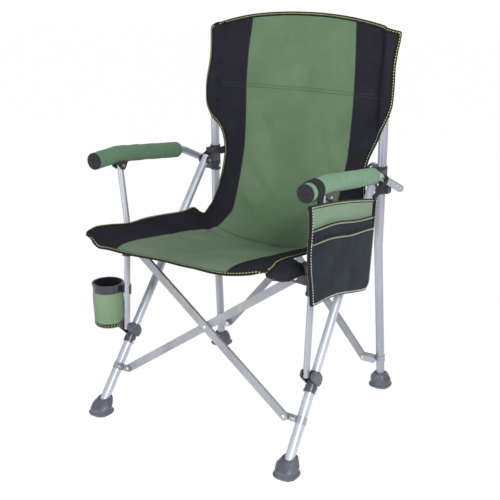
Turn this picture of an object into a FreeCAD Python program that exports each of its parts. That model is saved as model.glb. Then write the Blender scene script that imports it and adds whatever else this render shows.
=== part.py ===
import FreeCAD, Part
import math
import os

# Folding camp chair: quad frame of round tubes with two flat-bar scissors, hinged arm rests, a one-piece
# fabric sling, a cup holder on the left and a hanging side pocket on the right. Millimetres, +Z up.
# The chair is laid out about its mid-plane x = 0 with the rear feet at y = 0 and the front at -y.
# Everything is drawn for the right side (+x) and mirrored. At the end it is moved so that the origin is
# the bottom centre of the whole chair's box.

# ---------------------------------------------------------------- driving dimensions
# back posts and rear legs
POST_X = 266.0
POST_Y = -38.0
POST_R = 12.0
POST_WALL = 1.4
POST_ABOVE_BEND = 8.0
POST_BEND_Z = 840.0
POST_BEND_R = 240.0
POST_TOP = (-22.0, 972.0)
REAR_LEG_R = 11.4
REAR_LEG_NECK_R = 10.5
REAR_LEG_WALL = 1.4
REAR_LEG_BEND_Z = 430.0
REAR_LEG_INSERT = 45.0
REAR_LEG_BEND_R = 60.0
REAR_FOOT_X = 276.0
REAR_FOOT_Y = 0.0
# front legs
LEG_PIN_Y = -91.0
LEG_PIN_Z = 613.0
LEG_R = 11.2
LEG_WALL = 1.4
LEG_TOP_OVERRUN = 12.0
LOWER_LEG_R = 12.2
LOWER_LEG_WALL = 1.5
FRONT_FOOT_X = 290.0
FRONT_FOOT_Y = -572.0
SLIDER_AT = 534.7
SLIDER_LENGTH = 36.0
SLIDER_GAP = 13.0
SLIDER_EAR = 3.5
SLIDER_BOSS_R = 8.5
SLIDER_BOSS_H = 4.0
STOP_COLLAR_LENGTH = 17.0
COLLAR_WALL = 3.2
LINK_AT = 640.0
LINK_PLATE = 5.0
LINK_R = 8.5
LINK_BAND_WALL = 1.4
LINK_BAND_HALF = 9.0
LINK_LUG = 6.0
TONGUE = 4.0
TONGUE_R = 8.0
# feet
FOOT_HALF = 31.0
FOOT_FLANGE = 8.0
FOOT_SOLE = 17.0
FOOT_GRIP = 23.0
FOOT_BLOCK_LOW = (26.0, 27.0, 17.0)
FOOT_BLOCK_HIGH = (18.5, 19.5, 12.0)
FOOT_BLOCK_TOP = 40.0
FOOT_BOSS_Z = 23.0
FOOT_BOSS_R = 10.0
FOOT_BOSS_H = 6.0
# rear scissor
REAR_PIVOT_X = 232.0
REAR_PIVOT_Y = -24.0
REAR_PIVOT_LOW = 87.0
REAR_PIVOT_HIGH = 640.0
BAR_WIDTH = 20.0
BAR_THICK = 8.0
BAR_WALL = 1.6
BAR_SOLID_END = 26.0
BAR_HALF_GAP = 0.3
# hub that slides on the post, and the fixed collar below it
COLLAR_BOTTOM = 575.0
COLLAR_HEIGHT = 28.0
HUB_CLEARANCE = 0.4
HUB_LENGTH = 44.6
HUB_WALL = 2.4
# arm rests
ARM_X = 304.0
ARM_R = 10.0
ARM_WALL = 1.3
ARM_PIVOT = (-45.0, 604.0)
ARM_REAR_Y = -1.0
ARM_BEND = (-148.0, 649.0)
ARM_CREST = (-430.0, 685.0)
ARM_FRONT = (-513.0, 681.5)
ARM_CREST_R = 130.0
PAD_R = 21.3
PAD_REAR_Y = -166.0
CAP_THICK = 6.0
BRACKET_CLEARANCE = 2.4
BRACKET_Y = (-456.0, -402.0)
# arm support tubes
SUPPORT_R = 8.0
SUPPORT_WALL = 1.2
SUPPORT_PIN = (278.0, -451.0, 216.0)
SUPPORT_BEND = (279.0, -431.0, 500.0)
SUPPORT_TOP_PIN = (-421.0, 653.0)
SUPPORT_OVERRUN = 7.0
SUPPORT_BEND_R = 120.0
# front scissor
FRONT_PIVOT_X = 245.5
FRONT_LOW = (-493.0, 115.0)
FRONT_HIGH = (-450.0, 457.0)
CORNER_X = FRONT_PIVOT_X
CORNER_SLIDER_BOTTOM = 415.0
CORNER_SLIDER_TOP = 482.0
LUG_GAP = 2.6
LUG_THICK = 4.0
# rods that carry the seat's front corners
ROD_X = 254.0
ROD_R = 4.5
ROD_HINGE = (-441.0, 487.0)
ROD_TIP = (-566.0, 491.0)
# sling
SLING_THICK = 5.0
SEAM_X = 157.0
SLEEVE_THICK = 2.6
SLEEVE_BOTTOM = 776.0
# cup holder
CUP_X = 341.0
CUP_Y = -450.0
CUP_RING_R = 42.0
CUP_RING_WALL = 5.0
CUP_LIP = 1.2
CUP_LIP_HEIGHT = 7.0
CUP_CLIP_WALL = 3.2
CUP_RING_BOTTOM = 309.0
CUP_RING_TOP = 331.0
CUP_BAG_BOTTOM = 208.0
CUP_BAG_LOW_R = 36.5
CUP_BAG_WALL = 2.0
# side pocket
POCKET_X = 326.0
POCKET_FRONT_Y = -546.0
POCKET_REAR_Y = -210.0
POCKET_TOP = (662.0, 605.0)
POCKET_DEPTH = 226.0
POCKET_LEAN = 28.0
POCKET_PANEL = 2.2
POCKET_ROOM = 5.6
POCKET_SKIN = 1.6
POCKET_MOUTH_REAR = 70.0
POCKET_MOUTH_FRONT = 80.0
POCKET_SEAM = 4.0
POCKET_STEP = 28.0
POCKET_LOOP_FRONT_Y = -490.0
POCKET_LOOP_REAR_Y = -116.0
STRAP_WIDTH = 22.0
STRAP_THICK = 0.9
STRAP_TAIL = 52.0
# fits
GAP = 0.3
PIN_GAP = 0.05
CUT_REACH = 120.0
PIN_R = 3.0
HEAD_R = 5.6
HEAD_H = 1.6
RIVET_R = 2.4
EAR = 3.0
EAR_R = 11.0
FORK_EAR_R = 8.5
FORK_RING_HALF = 8.5
FORK_RING_WALL = 2.0


# ---------------------------------------------------------------- small helpers
def vec(x, y, z):
    return FreeCAD.Vector(x, y, z)


X_AXIS = vec(1, 0, 0)
Y_AXIS = vec(0, 1, 0)
Z_AXIS = vec(0, 0, 1)


def unit(v):
    return v * (1.0 / v.Length)


def rod(p, q, r):
    return Part.makeCylinder(r, (q - p).Length, p, q - p)


def tube(p, q, outer, inner):
    return rod(p, q, outer).cut(rod(p, q, inner))


def fuse_all(shapes):
    result = shapes[0].multiFuse(shapes[1:])
    return result.removeSplitter()


def mirrored(shape):
    return shape.mirror(vec(0, 0, 0), X_AXIS)


def box(x0, x1, y0, y1, z0, z1):
    return Part.makeBox(x1 - x0, y1 - y0, z1 - z0, vec(x0, y0, z0))


def bent_path(points, bend_radius):
    """A wire of straight runs joined by tangent arcs."""
    edges = []
    start = points[0]
    for before, corner, after in zip(points, points[1:], points[2:]):
        to_before = unit(before - corner)
        to_after = unit(after - corner)
        half = (math.pi - to_before.getAngle(to_after)) / 2
        reach = bend_radius * math.tan(half)
        arc_in = corner + to_before * reach
        arc_out = corner + to_after * reach
        inward = unit(to_before + to_after)
        middle = corner + inward * (bend_radius / math.cos(half) - bend_radius)
        edges.append(Part.makeLine(start, arc_in))
        edges.append(Part.Arc(arc_in, middle, arc_out).toShape())
        start = arc_out
    edges.append(Part.makeLine(start, points[-1]))
    return Part.Wire(edges)


def bent_rod(points, bend_radius, r):
    section = Part.Wire(Part.makeCircle(r, points[0], points[1] - points[0]))
    return bent_path(points, bend_radius).makePipeShell([section], True, False)


def bent_tube(points, bend_radius, r, wall):
    return bent_rod(points, bend_radius, r).cut(bent_rod(points, bend_radius, r - wall))


def strap(a, b, r_a, r_b, normal, low, high):
    """A flat plate round two circles in the plane through a and b, from low to high along the normal."""
    along = unit(b - a)
    side = unit(normal.cross(along))
    span = (b - a).Length
    lean = math.asin((r_a - r_b) / span)
    shift = normal * low
    corners = []
    for centre, r, sign in ((a, r_a, 1), (b, r_b, 1), (b, r_b, -1), (a, r_a, -1)):
        touch = along * (math.sin(lean) * r) + side * (sign * math.cos(lean) * r)
        corners.append(centre + touch + shift)
    plate = Part.Face(Part.makePolygon(corners + corners[:1])).extrude(normal * (high - low))
    discs = [rod(p + shift, p + normal * high, r) for p, r in ((a, r_a), (b, r_b))]
    return fuse_all([plate] + discs)


def pin_head(p, outward, r=HEAD_R, h=HEAD_H):
    """A low domed rivet head standing on p."""
    dome_r = (r * r + h * h) / (2 * h)
    dome = Part.makeSphere(dome_r, p + outward * (h - dome_r))
    return dome.common(rod(p, p + outward * (2 * h), r + 1))


def through_pin(p, q, r=PIN_R):
    """A riveted pin from face p to face q with a domed head on each."""
    out = unit(q - p)
    return fuse_all([rod(p, q, r), pin_head(q, out), pin_head(p, out * -1)])


def stub_rivet(p, outward, depth, r=RIVET_R):
    """A blind rivet: its head stands on p and its shank fills a hole of the given depth."""
    return fuse_all([rod(p - outward * depth, p, r), pin_head(p, outward)])


# ---------------------------------------------------------------- lines of the frame, right side
LEG_PIN = vec(POST_X, LEG_PIN_Y, LEG_PIN_Z)
FRONT_FOOT = vec(FRONT_FOOT_X, FRONT_FOOT_Y, 0)
LEG_DOWN = unit(FRONT_FOOT - LEG_PIN)
LEG_LENGTH = (FRONT_FOOT - LEG_PIN).Length
REAR_BEND = vec(POST_X, POST_Y, REAR_LEG_BEND_Z)
REAR_FOOT = vec(REAR_FOOT_X, REAR_FOOT_Y, 0)
REAR_DOWN = unit(REAR_FOOT - REAR_BEND)
ARM_PIN = vec(ARM_X, *ARM_PIVOT)
TOP_PIN = vec(ARM_X, *SUPPORT_TOP_PIN)
FOOT_PIN = vec(*SUPPORT_PIN)
FRONT_LOW_PIN = vec(FRONT_PIVOT_X, *FRONT_LOW)
FRONT_HIGH_PIN = vec(CORNER_X, *FRONT_HIGH)
SCISSOR_UP = unit(vec(0, FRONT_HIGH[0] - FRONT_LOW[0], FRONT_HIGH[1] - FRONT_LOW[1]))
SCISSOR_OUT = X_AXIS.cross(SCISSOR_UP)


def on_leg(distance):
    return LEG_PIN + LEG_DOWN * distance


def on_rear_leg(z):
    return REAR_BEND + REAR_DOWN * ((z - REAR_LEG_BEND_Z) / REAR_DOWN.z)


def arm_z(y):
    """Height of the arm tube's centre line at y, along its straight runs."""
    points = [ARM_PIVOT, ARM_BEND, ARM_CREST, ARM_FRONT]
    for (y0, z0), (y1, z1) in zip(points, points[1:]):
        if y1 <= y <= y0:
            return z0 + (z1 - z0) * (y - y0) / (y1 - y0)
    (y0, z0), (y1, z1) = points[:2]
    return z0 + (z1 - z0) * (y - y0) / (y1 - y0)


def arm_point(y):
    return vec(ARM_X, y, arm_z(y))


POST_BOTTOM = REAR_LEG_BEND_Z + POST_ABOVE_BEND
POST_PATH = [vec(POST_X, POST_Y, POST_BOTTOM), vec(POST_X, POST_Y, POST_BEND_Z), vec(POST_X, *POST_TOP)]
COLLAR_TOP = COLLAR_BOTTOM + COLLAR_HEIGHT
COLLAR_RIVET_Z = COLLAR_BOTTOM + COLLAR_HEIGHT / 2
HUB_BOTTOM = COLLAR_TOP + HUB_CLEARANCE
HUB_TOP = HUB_BOTTOM + HUB_LENGTH
LEG_HINGE_EAR = LEG_R + GAP + 0.5
SUPPORT_LINE = [vec(*SUPPORT_PIN), vec(*SUPPORT_BEND), TOP_PIN]
SUPPORT_UP = unit(SUPPORT_LINE[1] - SUPPORT_LINE[0])


def on_support(z):
    return FOOT_PIN + SUPPORT_UP * ((z - FOOT_PIN.z) / SUPPORT_UP.z)


# ---------------------------------------------------------------- posts and rear legs
def make_back_post():
    return bent_tube(POST_PATH, POST_BEND_R, POST_R, POST_WALL)


def make_rear_leg():
    """Rear leg tube with its neck in the post, and the welded fork for a scissor bar's lower end."""
    shoulder = vec(REAR_BEND.x, REAR_BEND.y, POST_BOTTOM - GAP)
    foot_end = on_rear_leg(FOOT_SOLE)
    outside = bent_rod([shoulder, REAR_BEND, foot_end], REAR_LEG_BEND_R, REAR_LEG_R)
    neck_top = REAR_BEND + Z_AXIS * REAR_LEG_INSERT
    neck = rod(shoulder - Z_AXIS, neck_top, REAR_LEG_NECK_R)
    centre = on_rear_leg(REAR_PIVOT_LOW)
    half = REAR_DOWN * FORK_RING_HALF
    ring = rod(centre + half, centre - half, REAR_LEG_R + FORK_RING_WALL)
    fork = make_bar_fork(REAR_PIVOT_LOW, REAR_PIVOT_LOW, centre.x - REAR_LEG_R)
    bore = bent_rod([neck_top, REAR_BEND, foot_end], REAR_LEG_BEND_R, REAR_LEG_NECK_R - REAR_LEG_WALL)
    return fuse_all([outside, neck, ring, fork]).cut(bore)


def rounded_rectangle(centre, half_x, half_y, r):
    """A level rectangle with rounded corners, as a wire."""
    arcs = []
    for sign_x, sign_y in ((1, -1), (1, 1), (-1, 1), (-1, -1)):
        corner = centre + vec(sign_x * (half_x - r), sign_y * (half_y - r), 0)
        on_x = corner + vec(sign_x * r, 0, 0)
        on_y = corner + vec(0, sign_y * r, 0)
        middle = corner + vec(sign_x, sign_y, 0) * (r * math.sqrt(0.5))
        start, end = (on_y, on_x) if sign_x != sign_y else (on_x, on_y)
        arcs.append((start, middle, end))
    edges = []
    for arc, following in zip(arcs, arcs[1:] + arcs[:1]):
        edges.append(Part.Arc(*arc).toShape())
        edges.append(Part.makeLine(arc[2], following[0]))
    return Part.Wire(edges)


def make_foot(tube_end, down, leg_r):
    """A moulded boot: wide flat sole, a block that leans with the leg, a socket and a boss on each side."""
    up = down * (1.0 / down.z)
    ground = vec(tube_end.x, tube_end.y, 0)
    flange = []
    for z, shrink in ((0.0, 1.5), (3.0, 0.0), (FOOT_FLANGE, 1.0)):
        half = FOOT_HALF - shrink
        flange.append(rounded_rectangle(ground + Z_AXIS * z, half, half, half * 0.8))
    sole = Part.makeLoft(flange, True, True)
    low = rounded_rectangle(ground + Z_AXIS * (FOOT_FLANGE - 1), *FOOT_BLOCK_LOW)
    high = rounded_rectangle(tube_end + up * (FOOT_BLOCK_TOP - FOOT_SOLE), *FOOT_BLOCK_HIGH)
    block = Part.makeLoft([low, high], True, True)
    share = (FOOT_BOSS_Z - FOOT_FLANGE + 1) / (FOOT_BLOCK_TOP - FOOT_FLANGE + 1)
    side_x = FOOT_BLOCK_LOW[0] + (FOOT_BLOCK_HIGH[0] - FOOT_BLOCK_LOW[0]) * share
    middle = tube_end + up * (FOOT_BOSS_Z - FOOT_SOLE)
    bosses = []
    for side in (1, -1):
        face = middle + X_AXIS * (side * (side_x - 1))
        bosses.append(pin_head(face, X_AXIS * side, FOOT_BOSS_R, FOOT_BOSS_H))
        bosses.append(rod(middle, face, FOOT_BOSS_R))
    top = tube_end - down * FOOT_GRIP
    above = rod(top, top - down * CUT_REACH, CUT_REACH)
    socket = rod(tube_end, tube_end - down * CUT_REACH, leg_r + PIN_GAP)
    return fuse_all([sole, block] + bosses).cut(above).cut(socket)


FORK_HALF = BAR_THICK + BAR_HALF_GAP * 2
REAR_WEB_X = REAR_PIVOT_X + BAR_WIDTH / 2 + 1.5


def make_bar_fork(pivot_z, root_z, root_x):
    """Two ears across Y that take a rear scissor bar, and the web that joins them."""
    ears = []
    for side in (1, -1):
        inner = REAR_PIVOT_Y + side * FORK_HALF
        outer = inner + side * EAR
        low, high = sorted((inner, outer))
        ear_root = vec(root_x, 0, root_z)
        pivot = vec(REAR_PIVOT_X, 0, pivot_z)
        ears.append(strap(ear_root, pivot, FORK_EAR_R, FORK_EAR_R, Y_AXIS, low, high))
    half = FORK_HALF + EAR
    web_low, web_high = root_z - FORK_EAR_R, root_z + FORK_EAR_R
    web = box(REAR_WEB_X, root_x, REAR_PIVOT_Y - half, REAR_PIVOT_Y + half, web_low, web_high)
    hole_start = vec(REAR_PIVOT_X, REAR_PIVOT_Y - half, pivot_z)
    hole_end = vec(REAR_PIVOT_X, REAR_PIVOT_Y + half, pivot_z)
    return fuse_all(ears + [web]).cut(rod(hole_start, hole_end, PIN_R))


def make_fork_pin(pivot_z, bar_side):
    """Pin across a rear fork, and the spacer that fills the half the bar leaves free."""
    half = FORK_HALF + EAR
    pin = through_pin(vec(REAR_PIVOT_X, REAR_PIVOT_Y - half, pivot_z),
                      vec(REAR_PIVOT_X, REAR_PIVOT_Y + half, pivot_z))
    near = vec(REAR_PIVOT_X, REAR_PIVOT_Y, pivot_z)
    far = vec(REAR_PIVOT_X, REAR_PIVOT_Y - bar_side * FORK_HALF, pivot_z)
    return [pin, tube(near, far, 6.5, PIN_R + PIN_GAP)]


def make_post_collar():
    """Fixed collar under the hub, with the boss that carries the arm rest's pivot."""
    low = vec(POST_X, POST_Y, COLLAR_BOTTOM)
    high = vec(POST_X, POST_Y, COLLAR_TOP)
    ring = rod(low, high, POST_R + COLLAR_WALL)
    boss_low = POST_X + POST_R + HUB_WALL + 2 * GAP + 0.3
    boss_high = ARM_X - ARM_R - GAP
    boss = rod(vec(boss_low, *ARM_PIVOT), vec(boss_high, *ARM_PIVOT), EAR_R)
    arm = box(POST_X, boss_high, ARM_PIN.y - EAR_R, ARM_PIN.y + EAR_R, COLLAR_BOTTOM + 4, COLLAR_TOP)
    bore = rod(low - Z_AXIS * 20, high + Z_AXIS * 20, POST_R + PIN_GAP)
    blind = rod(vec(boss_high - 8, *ARM_PIVOT), vec(boss_high, *ARM_PIVOT), PIN_R)
    wall = vec(POST_X - POST_R, POST_Y, COLLAR_RIVET_Z)
    screw = rod(wall - X_AXIS * (COLLAR_WALL + 1), wall, RIVET_R)
    return fuse_all([ring, boss, arm]).cut(bore).cut(blind).cut(screw)


def make_post_rivets(bar_side):
    boss_high = ARM_X - ARM_R - GAP
    arm_head = ARM_X + ARM_R + GAP
    arm_pin = fuse_all([rod(vec(boss_high - 8, *ARM_PIVOT), vec(arm_head, *ARM_PIVOT), PIN_R),
                        pin_head(vec(arm_head, *ARM_PIVOT), X_AXIS)])
    collar_face = vec(POST_X - POST_R - COLLAR_WALL, POST_Y, COLLAR_RIVET_Z)
    collar = stub_rivet(collar_face, X_AXIS * -1, COLLAR_WALL - 0.2)
    return Part.makeCompound([arm_pin, collar] + make_fork_pin(REAR_PIVOT_LOW, bar_side))


# ---------------------------------------------------------------- rear scissor
def make_bar(a, b, out, layer, hole_radii):
    """A flat bar of box section between two pins, solid at its ends. Layer is +1 or -1 along out."""
    low = layer * BAR_HALF_GAP
    high = layer * (BAR_HALF_GAP + BAR_THICK)
    low, high = sorted((low, high))
    half = BAR_WIDTH / 2
    blank = strap(a, b, half, half, out, low, high)
    along = unit(b - a)
    side = out.cross(along)
    start = a + along * BAR_SOLID_END
    end = b - along * BAR_SOLID_END
    middle = (a + b) * 0.5
    inner = half - BAR_WALL
    for p, q in ((start, middle - along * BAR_SOLID_END), (middle + along * BAR_SOLID_END, end)):
        corners = [p + side * inner, q + side * inner, q - side * inner, p - side * inner]
        corners = [c + out * (low + BAR_WALL) for c in corners]
        hollow = Part.Face(Part.makePolygon(corners + corners[:1]))
        blank = blank.cut(hollow.extrude(out * (BAR_THICK - 2 * BAR_WALL)))
    for p, r in zip((a, middle, b), hole_radii):
        blank = blank.cut(rod(p + out * (low - 1), p + out * (high + 1), r))
    return blank


REAR_OUT = vec(0, -1, 0)


def rear_bar_ends(direction):
    """Pin centres of a rear bar: direction +1 rises from the right foot, -1 from the left foot."""
    low = vec(direction * REAR_PIVOT_X, REAR_PIVOT_Y, REAR_PIVOT_LOW)
    high = vec(-direction * REAR_PIVOT_X, REAR_PIVOT_Y, REAR_PIVOT_HIGH)
    return low, high


def make_rear_cross_pin():
    low, high = rear_bar_ends(1)
    middle = (low + high) * 0.5
    half = BAR_THICK + BAR_HALF_GAP
    return through_pin(middle - REAR_OUT * (half + GAP), middle + REAR_OUT * half)


# ---------------------------------------------------------------- hub that slides on the post
def make_hub():
    low = vec(POST_X, POST_Y, HUB_BOTTOM)
    high = vec(POST_X, POST_Y, HUB_TOP)
    outer = POST_R + GAP + HUB_WALL
    sleeve = rod(low, high, outer)
    ears = []
    for side in (1, -1):
        inner = side * LEG_HINGE_EAR
        low_x, high_x = sorted((inner, inner + side * EAR))
        root = vec(POST_X, POST_Y - outer, LEG_PIN_Z + 10)
        ears.append(strap(root, LEG_PIN, EAR_R + 2, EAR_R, X_AXIS, low_x, high_x))
    width = LEG_HINGE_EAR + EAR
    web = box(POST_X - width, POST_X + width, POST_Y - outer - 12, POST_Y, HUB_BOTTOM, HUB_TOP - 6)
    fork = make_bar_fork(REAR_PIVOT_HIGH, HUB_TOP - EAR_R - 6, POST_X - POST_R)
    bore = rod(low - Z_AXIS * 20, high + Z_AXIS * 20, POST_R + GAP)
    flank = POST_X + outer
    trim = box(flank, flank + CUT_REACH, POST_Y - CUT_REACH, POST_Y + CUT_REACH,
               HUB_BOTTOM - CUT_REACH, HUB_TOP + CUT_REACH)
    hole = rod(LEG_PIN - X_AXIS * 30, LEG_PIN + X_AXIS * 30, PIN_R)
    under = box(0, 2 * POST_X, LEG_PIN_Y + EAR_R, 100, HUB_BOTTOM - 40, HUB_BOTTOM)
    body = fuse_all([sleeve, web, fork] + ears)
    return body.cut(bore).cut(trim).cut(under).cut(hole)


def make_hub_pins(bar_side):
    reach = LEG_HINGE_EAR + EAR
    leg_pin = through_pin(LEG_PIN - X_AXIS * reach, LEG_PIN + X_AXIS * reach)
    return Part.makeCompound([leg_pin] + make_fork_pin(REAR_PIVOT_HIGH, bar_side))


# ---------------------------------------------------------------- front legs
COLLAR_AT = SLIDER_AT + SLIDER_LENGTH / 2 + GAP
JOINT_AT = COLLAR_AT + STOP_COLLAR_LENGTH * 0.4
LEG_END_AT = (LEG_PIN_Z - FOOT_SOLE) / -LEG_DOWN.z


def make_upper_leg():
    leg = tube(on_leg(-LEG_TOP_OVERRUN), on_leg(JOINT_AT), LEG_R, LEG_R - LEG_WALL)
    return leg.cut(rod(LEG_PIN - X_AXIS * 20, LEG_PIN + X_AXIS * 20, PIN_R + PIN_GAP))


def make_lower_leg():
    return tube(on_leg(JOINT_AT), on_leg(LEG_END_AT), LOWER_LEG_R, LOWER_LEG_R - LOWER_LEG_WALL)


def make_stop_collar():
    """Riveted collar that joins the two leg tubes and stops the slider."""
    end = COLLAR_AT + STOP_COLLAR_LENGTH
    collar = rod(on_leg(COLLAR_AT), on_leg(end), LOWER_LEG_R + COLLAR_WALL)
    collar = collar.cut(rod(on_leg(COLLAR_AT - 1), on_leg(JOINT_AT), LEG_R + PIN_GAP))
    collar = collar.cut(rod(on_leg(JOINT_AT), on_leg(end + 1), LOWER_LEG_R + PIN_GAP))
    for p, out in collar_rivet_places():
        collar = collar.cut(rod(p - out * (COLLAR_WALL + 2), p + out * 4, RIVET_R))
    return collar


def collar_rivet_places():
    middle = on_leg(COLLAR_AT + STOP_COLLAR_LENGTH * 0.72)
    reach = LOWER_LEG_R + COLLAR_WALL + 0.3
    return [(middle + X_AXIS * (side * reach), X_AXIS * side) for side in (1, -1)]


LUG_HIGH = FRONT_FOOT_X + LEG_DOWN.x * (LINK_AT - LEG_LENGTH) - LOWER_LEG_R - 1.0
LUG_LOW = LUG_HIGH - LINK_LUG


def make_link_clamp():
    """Band round the front leg with an inward lug for the scissor link."""
    centre = on_leg(LINK_AT)
    half = LEG_DOWN * LINK_BAND_HALF
    band = rod(centre - half, centre + half, LOWER_LEG_R + LINK_BAND_WALL)
    lug = rod(vec(LUG_LOW, *FRONT_LOW), vec(LUG_HIGH + 4, *FRONT_LOW), LINK_R)
    bore = rod(centre - LEG_DOWN * 40, centre + LEG_DOWN * 40, LOWER_LEG_R + PIN_GAP)
    hole = rod(vec(LUG_LOW - 1, *FRONT_LOW), vec(LUG_HIGH, *FRONT_LOW), PIN_R)
    return fuse_all([band, lug]).cut(bore).cut(hole)


LINK_HIGH = LUG_LOW - GAP
LINK_LOW = LINK_HIGH - LINK_PLATE


def make_link(bar_layer):
    """Two-pin link: a plate on the leg's lug, turned into a tongue that carries the bar's lower end."""
    plate = rod(vec(LINK_LOW, *FRONT_LOW), vec(LINK_HIGH, *FRONT_LOW), LINK_R)
    low, high = sorted((0.0, -bar_layer * TONGUE))
    tongue = strap(vec(LINK_LOW + 1, *FRONT_LOW), FRONT_LOW_PIN, TONGUE_R, TONGUE_R, SCISSOR_OUT, low, high)
    keep = box(0, LINK_HIGH, FRONT_FOOT_Y, 0, 0, FRONT_HIGH[1])
    body = fuse_all([plate, tongue]).common(keep)
    hinge = rod(vec(LINK_LOW - 1, *FRONT_LOW), vec(LINK_HIGH + 1, *FRONT_LOW), PIN_R + PIN_GAP)
    relief = rod(vec(LINK_LOW - 4, *FRONT_LOW), vec(LINK_LOW, *FRONT_LOW), HEAD_R + GAP)
    pivot = rod(FRONT_LOW_PIN - SCISSOR_OUT * 20, FRONT_LOW_PIN + SCISSOR_OUT * 20, PIN_R + PIN_GAP)
    return body.cut(hinge).cut(relief).cut(pivot)


def make_leg_rivets():
    rivets = [stub_rivet(p, out, COLLAR_WALL) for p, out in collar_rivet_places()]
    link_pin = fuse_all([rod(vec(LINK_LOW - GAP, *FRONT_LOW), vec(LUG_HIGH - 0.5, *FRONT_LOW), PIN_R),
                         pin_head(vec(LINK_LOW - GAP, *FRONT_LOW), X_AXIS * -1)])
    return Part.makeCompound(rivets + [link_pin])


# ---------------------------------------------------------------- slider on the front leg
def make_leg_slider():
    """Sleeve on the upper leg tube, with a wide fork for the arm support's foot."""
    half = SLIDER_LENGTH / 2
    centre = on_leg(SLIDER_AT)
    sleeve = rod(centre - LEG_DOWN * half, centre + LEG_DOWN * half, SLIDER_GAP + 1)
    ears = []
    for side in (1, -1):
        low, high = sorted((side * SLIDER_GAP, side * (SLIDER_GAP + SLIDER_EAR)))
        tip = vec(centre.x, FOOT_PIN.y, FOOT_PIN.z)
        ears.append(strap(centre, tip, 15.0, EAR_R, X_AXIS, low, high))
        boss = FOOT_PIN + X_AXIS * (centre.x - FOOT_PIN.x + side * (SLIDER_GAP + SLIDER_EAR))
        ears.append(rod(boss - X_AXIS * (side * 0.5), boss, SLIDER_BOSS_R))
        ears.append(pin_head(boss, X_AXIS * side, SLIDER_BOSS_R, SLIDER_BOSS_H))
    bore = rod(centre - LEG_DOWN * 60, centre + LEG_DOWN * 60, LEG_R + GAP)
    return fuse_all([sleeve] + ears).cut(bore)


# ---------------------------------------------------------------- arm rests
def make_arm_tube():
    rear = arm_point(ARM_REAR_Y)
    points = [rear, arm_point(ARM_BEND[0]), arm_point(ARM_CREST[0]), arm_point(ARM_FRONT[0])]
    arm = bent_tube(points, ARM_CREST_R, ARM_R, ARM_WALL)
    return arm.cut(rod(ARM_PIN - X_AXIS * 20, ARM_PIN + X_AXIS * 20, PIN_R + PIN_GAP))


def pad_path():
    start = arm_point(PAD_REAR_Y)
    return [start, arm_point(ARM_CREST[0]), arm_point(ARM_FRONT[0])]


def make_arm_pad(bracket):
    """Foam sleeve round the arm tube."""
    path = pad_path()
    pad = bent_rod(path, ARM_CREST_R, PAD_R)
    tube_room = [path[0] - unit(path[1] - path[0])] + path[1:]
    pad = pad.cut(bent_rod(tube_room, ARM_CREST_R, ARM_R + PIN_GAP))
    half = BRACKET_HALF + EAR + GAP
    rear, front = BRACKET_Y[1] + 6, BRACKET_Y[0] - 6
    notch = box(ARM_X - half, ARM_X + half, front, rear, TOP_PIN.z - 30, TOP_PIN.z + 20)
    return pad.cut(notch).cut(bracket)


def make_arm_caps():
    """Closed disc at the front of the pad, and the small plug in the tube's rear end."""
    front = arm_point(ARM_FRONT[0])
    out = unit(front - arm_point(ARM_CREST[0]))
    disc = rod(front + out * 0.1, front + out * CAP_THICK, PAD_R)
    disc = disc.makeFillet(2.0, [disc.Edges[0]])
    plug = rod(front - out * 14, front + out * 1, ARM_R - ARM_WALL - PIN_GAP)
    rear = arm_point(ARM_REAR_Y)
    back = unit(rear - arm_point(ARM_BEND[0]))
    knob_base = rear + back * 0.1
    knob = Part.makeSphere(ARM_R, knob_base).common(rod(knob_base, rear + back * 20, ARM_R + 1))
    stem = rod(rear - back * 12, rear + back * 0.5, ARM_R - ARM_WALL - PIN_GAP)
    return Part.makeCompound([fuse_all([disc, plug]), fuse_all([knob, stem])])


BRACKET_HALF = SUPPORT_R + BRACKET_CLEARANCE


def make_arm_bracket():
    """Channel under the arm tube: a saddle with two tapering ears for the support's top pin."""
    saddle_low = SUPPORT_TOP_PIN[1] + 12
    ears = []
    for side in (1, -1):
        low, high = sorted((side * BRACKET_HALF, side * (BRACKET_HALF + EAR)))
        outline = [(BRACKET_Y[0] - 4, saddle_low + 12), (BRACKET_Y[1] + 4, saddle_low + 8),
                   (TOP_PIN.y + 9, TOP_PIN.z - 5), (TOP_PIN.y - 11, TOP_PIN.z - 5)]
        outline = [vec(ARM_X + low, y, z) for y, z in outline]
        plate = Part.Face(Part.makePolygon(outline + outline[:1])).extrude(X_AXIS * (high - low))
        ears += [plate, rod(TOP_PIN + X_AXIS * low, TOP_PIN + X_AXIS * high, EAR_R - 1)]
    half = BRACKET_HALF + EAR
    saddle = box(ARM_X - half, ARM_X + half, *BRACKET_Y, saddle_low, saddle_low + 14)
    path = pad_path()
    tube_room = bent_rod(path, ARM_CREST_R, ARM_R + PIN_GAP)
    hole = rod(TOP_PIN - X_AXIS * 20, TOP_PIN + X_AXIS * 20, PIN_R)
    return fuse_all([saddle] + ears).cut(tube_room).cut(hole)


def make_arm_pin():
    half = BRACKET_HALF + EAR
    return through_pin(TOP_PIN - X_AXIS * half, TOP_PIN + X_AXIS * half)


# ---------------------------------------------------------------- arm supports
def make_support():
    low, bend, top = SUPPORT_LINE
    start = low - unit(bend - low) * SUPPORT_OVERRUN
    end = top + unit(top - bend) * SUPPORT_OVERRUN
    support = bent_tube([start, bend, end], SUPPORT_BEND_R, SUPPORT_R, SUPPORT_WALL)
    return support.cut(rod(TOP_PIN - X_AXIS * 20, TOP_PIN + X_AXIS * 20, PIN_R + PIN_GAP))


def lug_range(bar_layer):
    """Where the corner lug lies along the scissor's normal: just in front of the bar it takes."""
    face = BAR_HALF_GAP + BAR_THICK if bar_layer > 0 else -BAR_HALF_GAP
    return face + LUG_GAP, face + LUG_GAP + LUG_THICK


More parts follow.
